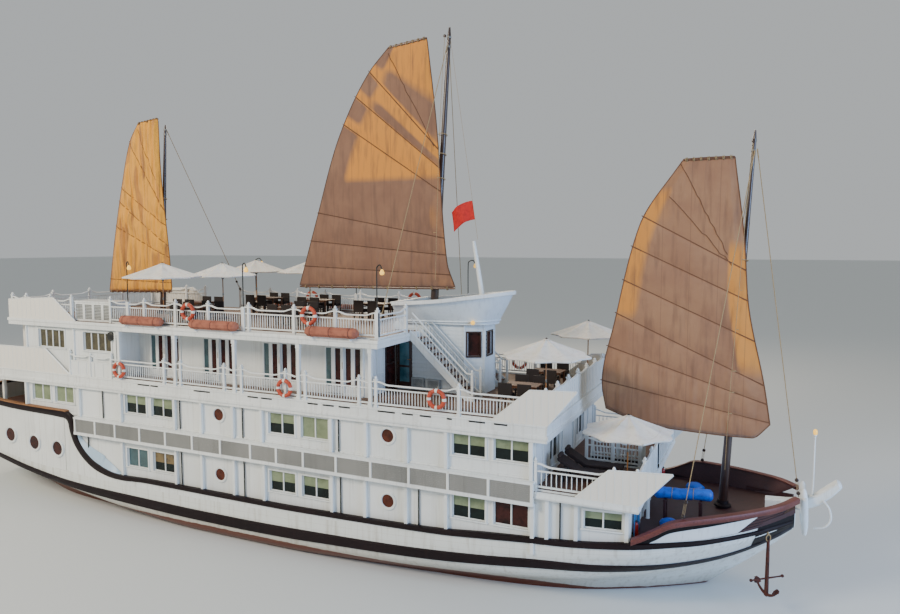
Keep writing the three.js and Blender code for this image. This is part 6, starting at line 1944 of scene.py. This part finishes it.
chairFrame = [slab((a, a + 0.045), (b, b + 0.045), (0, 0.42)) for a in (-0.24, 0.2) for b in (-0.24, 0.2)]
chairFrame += [slab((-0.25, 0.25), (-0.25, 0.25), (0.38, 0.44)),
               slab((-0.25, -0.2), (-0.25, 0.25), (0.44, 0.9)),
               slab((-0.2, 0.22), (-0.25, -0.21), (0.62, 0.66)),
               slab((-0.2, 0.22), (0.21, 0.25), (0.62, 0.66)),
               slab((0.18, 0.22), (-0.25, -0.21), (0.44, 0.62)),
               slab((0.18, 0.22), (0.21, 0.25), (0.44, 0.62))]
chairPad = [loft([[(u * k, v * k, z) for u, v in ((-0.18, -0.2), (0.22, -0.2), (0.22, 0.2), (-0.18, 0.2))]
                  for z, k in ((0.44, 0.96), (0.46, 1.0), (0.49, 1.0), (0.51, 0.93))])]
tableTop = [slab((-0.6 + 0.122 * k, -0.486 + 0.122 * k), (-0.4, 0.4), (0.7, 0.73)) for k in range(10)]
tableTop += [slab((-0.58, 0.6), (b, b + 0.05), (0.63, 0.7)) for b in (-0.36, 0.31)]
tableTop += [slab((a, a + 0.06), (b, b + 0.06), (0, 0.7)) for a in (-0.56, 0.52) for b in (-0.36, 0.3)]
seating = {"sun": [(-5.0, -2.75), (-6.9, -0.7), (-5.7, 2.7), (-2.6, 2.6), (-1.2, -1.3), (0.9, 1.9)],
           "front": [(8.9, -1.5), (8.9, 1.6)]}
frames, tables, pads = [], [], []
for area, deck in (("sun", sunDeckZ), ("front", promenadeZ)):
    for x, y in seating[area]:
        tables += placed(tableTop, x, y, 0, deck)
        for dx, dy, turnBy in ((-0.35, -0.68, math.pi / 2), (0.35, -0.68, math.pi / 2),
                               (-0.35, 0.68, -math.pi / 2), (0.35, 0.68, -math.pi / 2)):
            frames += placed(chairFrame, x + dx, y + dy, turnBy, deck)
            pads += placed(chairPad, x + dx, y + dy, turnBy, deck)
makePiece("deckTables", "ship", [(tableTimber, tables)], bevel=0.004, smooth=35)
makePiece("rattanChairs", "ship", [(rattan, frames)], bevel=0.006, smooth=35)
cushions = makePiece("chairCushions", "ship", [(cushionCloth, pads)], bevel=0.012, smooth=60)

loungerFrame, loungerPads = [], []
for y in (-2.55, -1.65):
    base = [slab((-1.0, 0.95), (b, b + 0.05), (0.22, 0.28)) for b in (-0.3, 0.25)]
    base += [slab((a, a + 0.05), (b, b + 0.05), (0, 0.25)) for a in (-0.8, 0.75) for b in (-0.3, 0.25)]
    base += [slab((a, a + 0.06), (-0.3, 0.3), (0.26, 0.285)) for a in spread(-0.25, 0.88, 9)]
    base += [prism([(-0.3, 0.27), (-0.26, 0.3), (-0.95, 0.72), (-0.98, 0.69)], b, b + 0.04)
             for b in (-0.29, 0.25)]
    loungerFrame += placed(base, 11.55, y, 0.06, terraceZ)
    flat = [(-0.28, 0.29), (0.96, 0.29), (0.98, 0.33), (0.96, 0.37), (-0.24, 0.38), (-0.92, 0.8),
            (-0.98, 0.78), (-1.0, 0.72)]
    loungerPads += placed([prism(flat, -0.29, 0.29)], 11.55, y, 0.06, terraceZ)
    loungerPads += placed([loft([[(-0.93 + 0.07 * k * math.cos(t), v, 0.83 + 0.055 * k * math.sin(t)) for t in
                                  turns(12)] for v, k in ((-0.25, 0.6), (-0.2, 1), (0.2, 1), (0.25, 0.6))])],
                          11.55, y, 0.06, terraceZ)
makePiece("loungerFrames", "ship", [(rattan, loungerFrame)], bevel=0.006, smooth=35)
loungerCushions = makePiece("loungerCushions", "ship", [(cushionCloth, loungerPads)],
                            bevel=0.018, smooth=60)

# Gear on the forecastle: a tarpaulin roll on trestles, bundles, extinguishers
gear = {"roll": ((13.5, -1.38, 3.4), (15.35, -1.2, 3.5)), "rollRadius": 0.19,
        "bundles": [(14.1, -2.0, 2.62, 0.26), (15.35, -1.75, 2.75, 0.22), (14.5, 1.9, 2.7, 0.26)]}
start, end = (Vector(p) for p in gear["roll"])
rollRings, rollRadii = [], []
for i, t in enumerate(spread(0, 1, 26)):
    rollRings.append(start + (end - start) * t
                     + Vector((0, 0.012 * math.sin(7 * t), 0.015 * math.sin(11 * t))))
    rollRadii.append(gear["rollRadius"] * (0.55 if i in (0, 25) else 0.93
                                           if i in (8, 17) else 1 + 0.04 * math.sin(23 * t)))
rolled = makePiece("rolledTarpaulin", "ship", [(tarpaulin, [tube(rollRings, rollRadii, 18)])],
                   smooth=60)
lashings = [tube([rollRings[i] + Vector((0.0, math.cos(a) * 0.185, math.sin(a) * 0.185)) for a in
                  turns(18)], 0.012, 6, closed=True) for i in (8, 17)]
trestles = []
for point in (rollRings[5], rollRings[20]):
    deck = deckEdge(point.x) + 0.07
    trestles += [slab((point.x - 0.05, point.x + 0.05), (point.y - 0.24, point.y + 0.24),
                      (point.z - 0.27, point.z - 0.19))]
    trestles += [slab((point.x - 0.04, point.x + 0.04), (point.y + dy - 0.04, point.y + dy + 0.04),
                      (deck - 0.03, point.z - 0.26))
                 for dy in (-0.19, 0.19)]
for number, (x, y, z, size) in enumerate(gear["bundles"]):
    deck = deckEdge(x) + 0.05
    rings = []
    for level, k in ((0.0, 0.72), (0.18, 1.0), (0.45, 1.0), (0.7, 0.78), (0.86, 0.42), (0.92, 0.12)):
        rings.append([(x + size * 1.25 * k * math.cos(a) * (1 + 0.1 * math.sin(3 * a + level * 5)),
                       y + size * k * math.sin(a) * (1 + 0.1 * math.sin(4 * a + level * 4)),
                       deck + size * 1.2 * level)
                      for a in turns(22)])
    bundle = makePiece("bundledTarpaulin_" + str(number + 1), "ship",
                       [(tarpaulin, [loft(rings)])], smooth=60)
makePiece("forecastleTrestles", "ship", [(innerTimber, trestles), (rope, lashings)],
          bevel=0.006, smooth=35)
makePiece("extinguisher", "ship",
          [(signalRed, bothSides([turned((13.2, -3.0, 2.38),
                                         [(0.05, 0), (0.085, 0.02), (0.085, 0.44), (0.06, 0.5), (0.03, 0.53)],
                                         18)])),
           (lampIron, bothSides([turned((13.2, -3.0, 2.9), [(0.035, 0), (0.035, 0.05), (0.02, 0.07)], 12),
                                 tube([(13.22, -3.0, 2.94), (13.31, -3.0, 2.92), (13.31, -3.02, 2.68)], 0.014,
                                      8),
                                 slab((13.1, 13.17), (-3.09, -2.91), (2.52, 2.56))]))], smooth=45)

# Lamp posts at the sun deck's rail, with gooseneck arms
lampPosts = [-7.53, -1.45, 4.42]
poles, heads, feetShapes = [], [], []
for x in lampPosts:
    y = -4.03
    poles.append(tube(smoothPath([(x, y, 9.2), (x, y, 10.7), (x + 0.05, y - 0.03, 10.91),
                                  (x + 0.19, y - 0.1, 10.96), (x + 0.29, y - 0.14, 10.82)], 5),
                      0.022, 8))
    heads.append(turned((x + 0.29, y - 0.14, 10.62),
                        [(0.02, 0), (0.07, 0.02), (0.085, 0.08), (0.06, 0.15), (0.03, 0.2)], 14))
    feetShapes.append(post(x, y, 0.07, (sunDeckZ, 9.3)))
makePiece("deckLamps", "ship",
          [(lampIron, bothSides(poles)), (lampGlass, bothSides(heads)), (whitePaint, bothSides(feetShapes))],
          bevel=0.004, smooth=45)
print("furniture, gear and lamps made")


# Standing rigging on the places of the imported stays, each set up on its deadeyes and lanyard
rigging = {
    "stay": 0.014, "line": 0.009,
    "forestay": ((16.27, 0.0, 14.75), (17.9, 0.0, 3.44)),
    "mainShroud": ((5.29, -0.09, 19.2), (4.25, -3.83, 8.37)),
    "foreShroud": ((16.2, -0.06, 14.7), (14.62, -3.2, 3.26)),
    "mizzenShroud": ((-9.28, -0.05, 17.05), (-8.5, -4.0, 9.25)),
    "foreHalyard": [(16.16, -0.36, 14.95), (15.95, -0.41, 11.5), (15.78, -0.43, 8.0), (15.7, -0.42, 6.4),
                    (15.63, -0.2, 4.1)],
    "mainHalyard": [(5.28, -0.3, 19.5), (5.12, -0.42, 16.0), (5.0, -0.43, 12.5), (4.93, -0.42, 10.3)],
    "flagHalyard": ((5.36, 0.0, 19.6), (6.53, 0.0, 11.86)),
}


def stayShapes(head, foot):
    head, foot, radius = Vector(head), Vector(foot), rigging["stay"]
    way = (head - foot).normalized()
    across = way.cross(Vector((1, 0, 0)) if abs(way.x) < 0.5 else Vector((0, 1, 0))).normalized()
    line = [tube([foot + way * 0.62, head], radius, 8)]
    deadeyes = [turned(foot + way * up - across * 0.03,
                       [(0.05, 0), (0.062, 0.01), (0.062, 0.05), (0.05, 0.06)], 14, across)
                for up in (0.12, 0.56)]
    lanyards = [tube([foot + way * 0.14 + across.cross(way) * off,
                      foot + way * 0.54 + across.cross(way) * off], 0.007, 6)
                for off in (-0.035, 0.0, 0.035)]
    eye = [tube([foot, foot + way * 0.1], 0.016, 8)]
    splice = [tube([head - way * 0.3, head - way * 0.02], radius + 0.006, 8)]
    return line + lanyards + splice, deadeyes, eye


def riggingPiece(name, pairs, replaced=()):
    lines, eyes, irons = [], [], []
    for head, foot in pairs:
        a, b, c = stayShapes(head, foot)
        lines += a
        eyes += b
        irons += c
    makePiece(name, "ship", [(rope, lines), (bootTimber, eyes), (galvanised, irons)],
              replaced=replaced, smooth=45)


def portPair(pair):
    return tuple((x, -y, z) for x, y, z in pair)


riggingPiece("forestayRope", [rigging["forestay"]], ("forestay",))
for side in sides:
    name = sideNames[side]
    turnOver = (lambda pair: pair) if side < 0 else portPair
    riggingPiece("mainShroudRope_" + name, [turnOver(rigging["mainShroud"])], ("main_shroud_" + name,))
    riggingPiece("foreShroudRope_" + name, [turnOver(rigging["foreShroud"])])
riggingPiece("mizzenShroudRope", [portPair(rigging["mizzenShroud"])])
for sailName, key in (("foresail", "foreHalyard"), ("mainsail", "mainHalyard")):
    path = smoothPath(rigging[key], 5)
    blocks = [turned(path[0] - Vector((0, 0.03, 0)),
                     [(0.035, 0), (0.06, 0.015), (0.06, 0.05), (0.035, 0.065)], 14, (0, 1, 0))]
    makePiece(key, sailName, [(rope, [tube(path, rigging["line"], 6)]), (bootTimber, blocks)],
              smooth=45)

# Flag on its halyard between the mast head and the wheelhouse's pole, drooping aft
top, bottom = (Vector(p) for p in rigging["flagHalyard"])
flag = {"hoist": 0.72, "fly": 1.05, "from": 0.835, "rows": 14, "columns": 26, "droop": 0.42}
hoistWay = (top - bottom).normalized()
flagTop = bottom + (top - bottom) * (1 - flag["from"]) + hoistWay * 0.2
flagRows = []
for i in range(flag["rows"] + 1):
    v = i / flag["rows"]
    row = []
    for j in range(flag["columns"] + 1):
        u = j / flag["columns"]
        wave = 0.07 * u ** 0.7 * math.sin(7.5 * u + 1.3 * v) + 0.02 * math.sin(15 * u - 2 * v) * u
        row.append(flagTop - hoistWay * (flag["hoist"] * v) + Vector((-0.86 * flag["fly"] * u, wave,
                                                                      -flag["droop"] * u * u - 0.05 * u * v)))
    flagRows.append(row)
flagCloth = skin(flagRows)
flagPiece = makePiece("flagBunting", "ship", [(flagRed, [flagCloth])], smooth=180)
thickened(flagPiece, 0.002, -1)
makePiece("flagHalyard", "ship", [(rope, [tube([bottom, top], 0.006, 6)])], smooth=45)
round(sheetArea(flagCloth), 2)
print("rigging made")


# Pale floor at the waterline, even sky light and soft lamps
studio = {"floor": "#CFD3D2", "sky": "#E4E8EA", "skyStrength": 0.62, "floorReach": 600}
reach = studio["floorReach"]
floorMesh = bpy.data.meshes.new("floor")
floorMesh.from_pydata([(-reach, -reach, 0), (reach, -reach, 0), (reach, reach, 0), (-reach, reach, 0)], [],
                      [(0, 1, 2, 3)])
floorMesh.materials.append(newMaterial("paleStudioFloor", studio["floor"], 0.7)[0])
floor = bpy.data.objects.new("floor", floorMesh)
scene.collection.objects.link(floor)

world = bpy.data.worlds.new("studio")
scene.world = world
world.use_nodes = True
sky = world.node_tree.nodes["Background"]
sky.inputs["Color"].default_value = colour(studio["sky"])
sky.inputs["Strength"].default_value = studio["skyStrength"]

lamps = {  # place, aim, size, watts, colour
    "keyLight": ((-22, -42, 34), (0, -3, 5), 16, 25000, "#FFF1DC"),
    "fillLight": ((46, -14, 14), (8, 0, 5), 20, 15000, "#A9CBFF"),
    "backLight": ((-20, 42, 32), (0, 0, 9), 20, 14000, "#FFE9C8"),
}
for lampName, (place, aim, size, watts, tint) in lamps.items():
    lampData = bpy.data.lights.new(lampName, "AREA")
    lampData.energy = watts
    lampData.size = size
    lampData.color = colour(tint)[:3]
    lampObject = bpy.data.objects.new(lampName, lampData)
    lampObject.location = place
    lampObject.rotation_euler = (Vector(aim) - Vector(place)).to_track_quat("-Z", "Y").to_euler()
    scene.collection.objects.link(lampObject)

print("floor and light set")
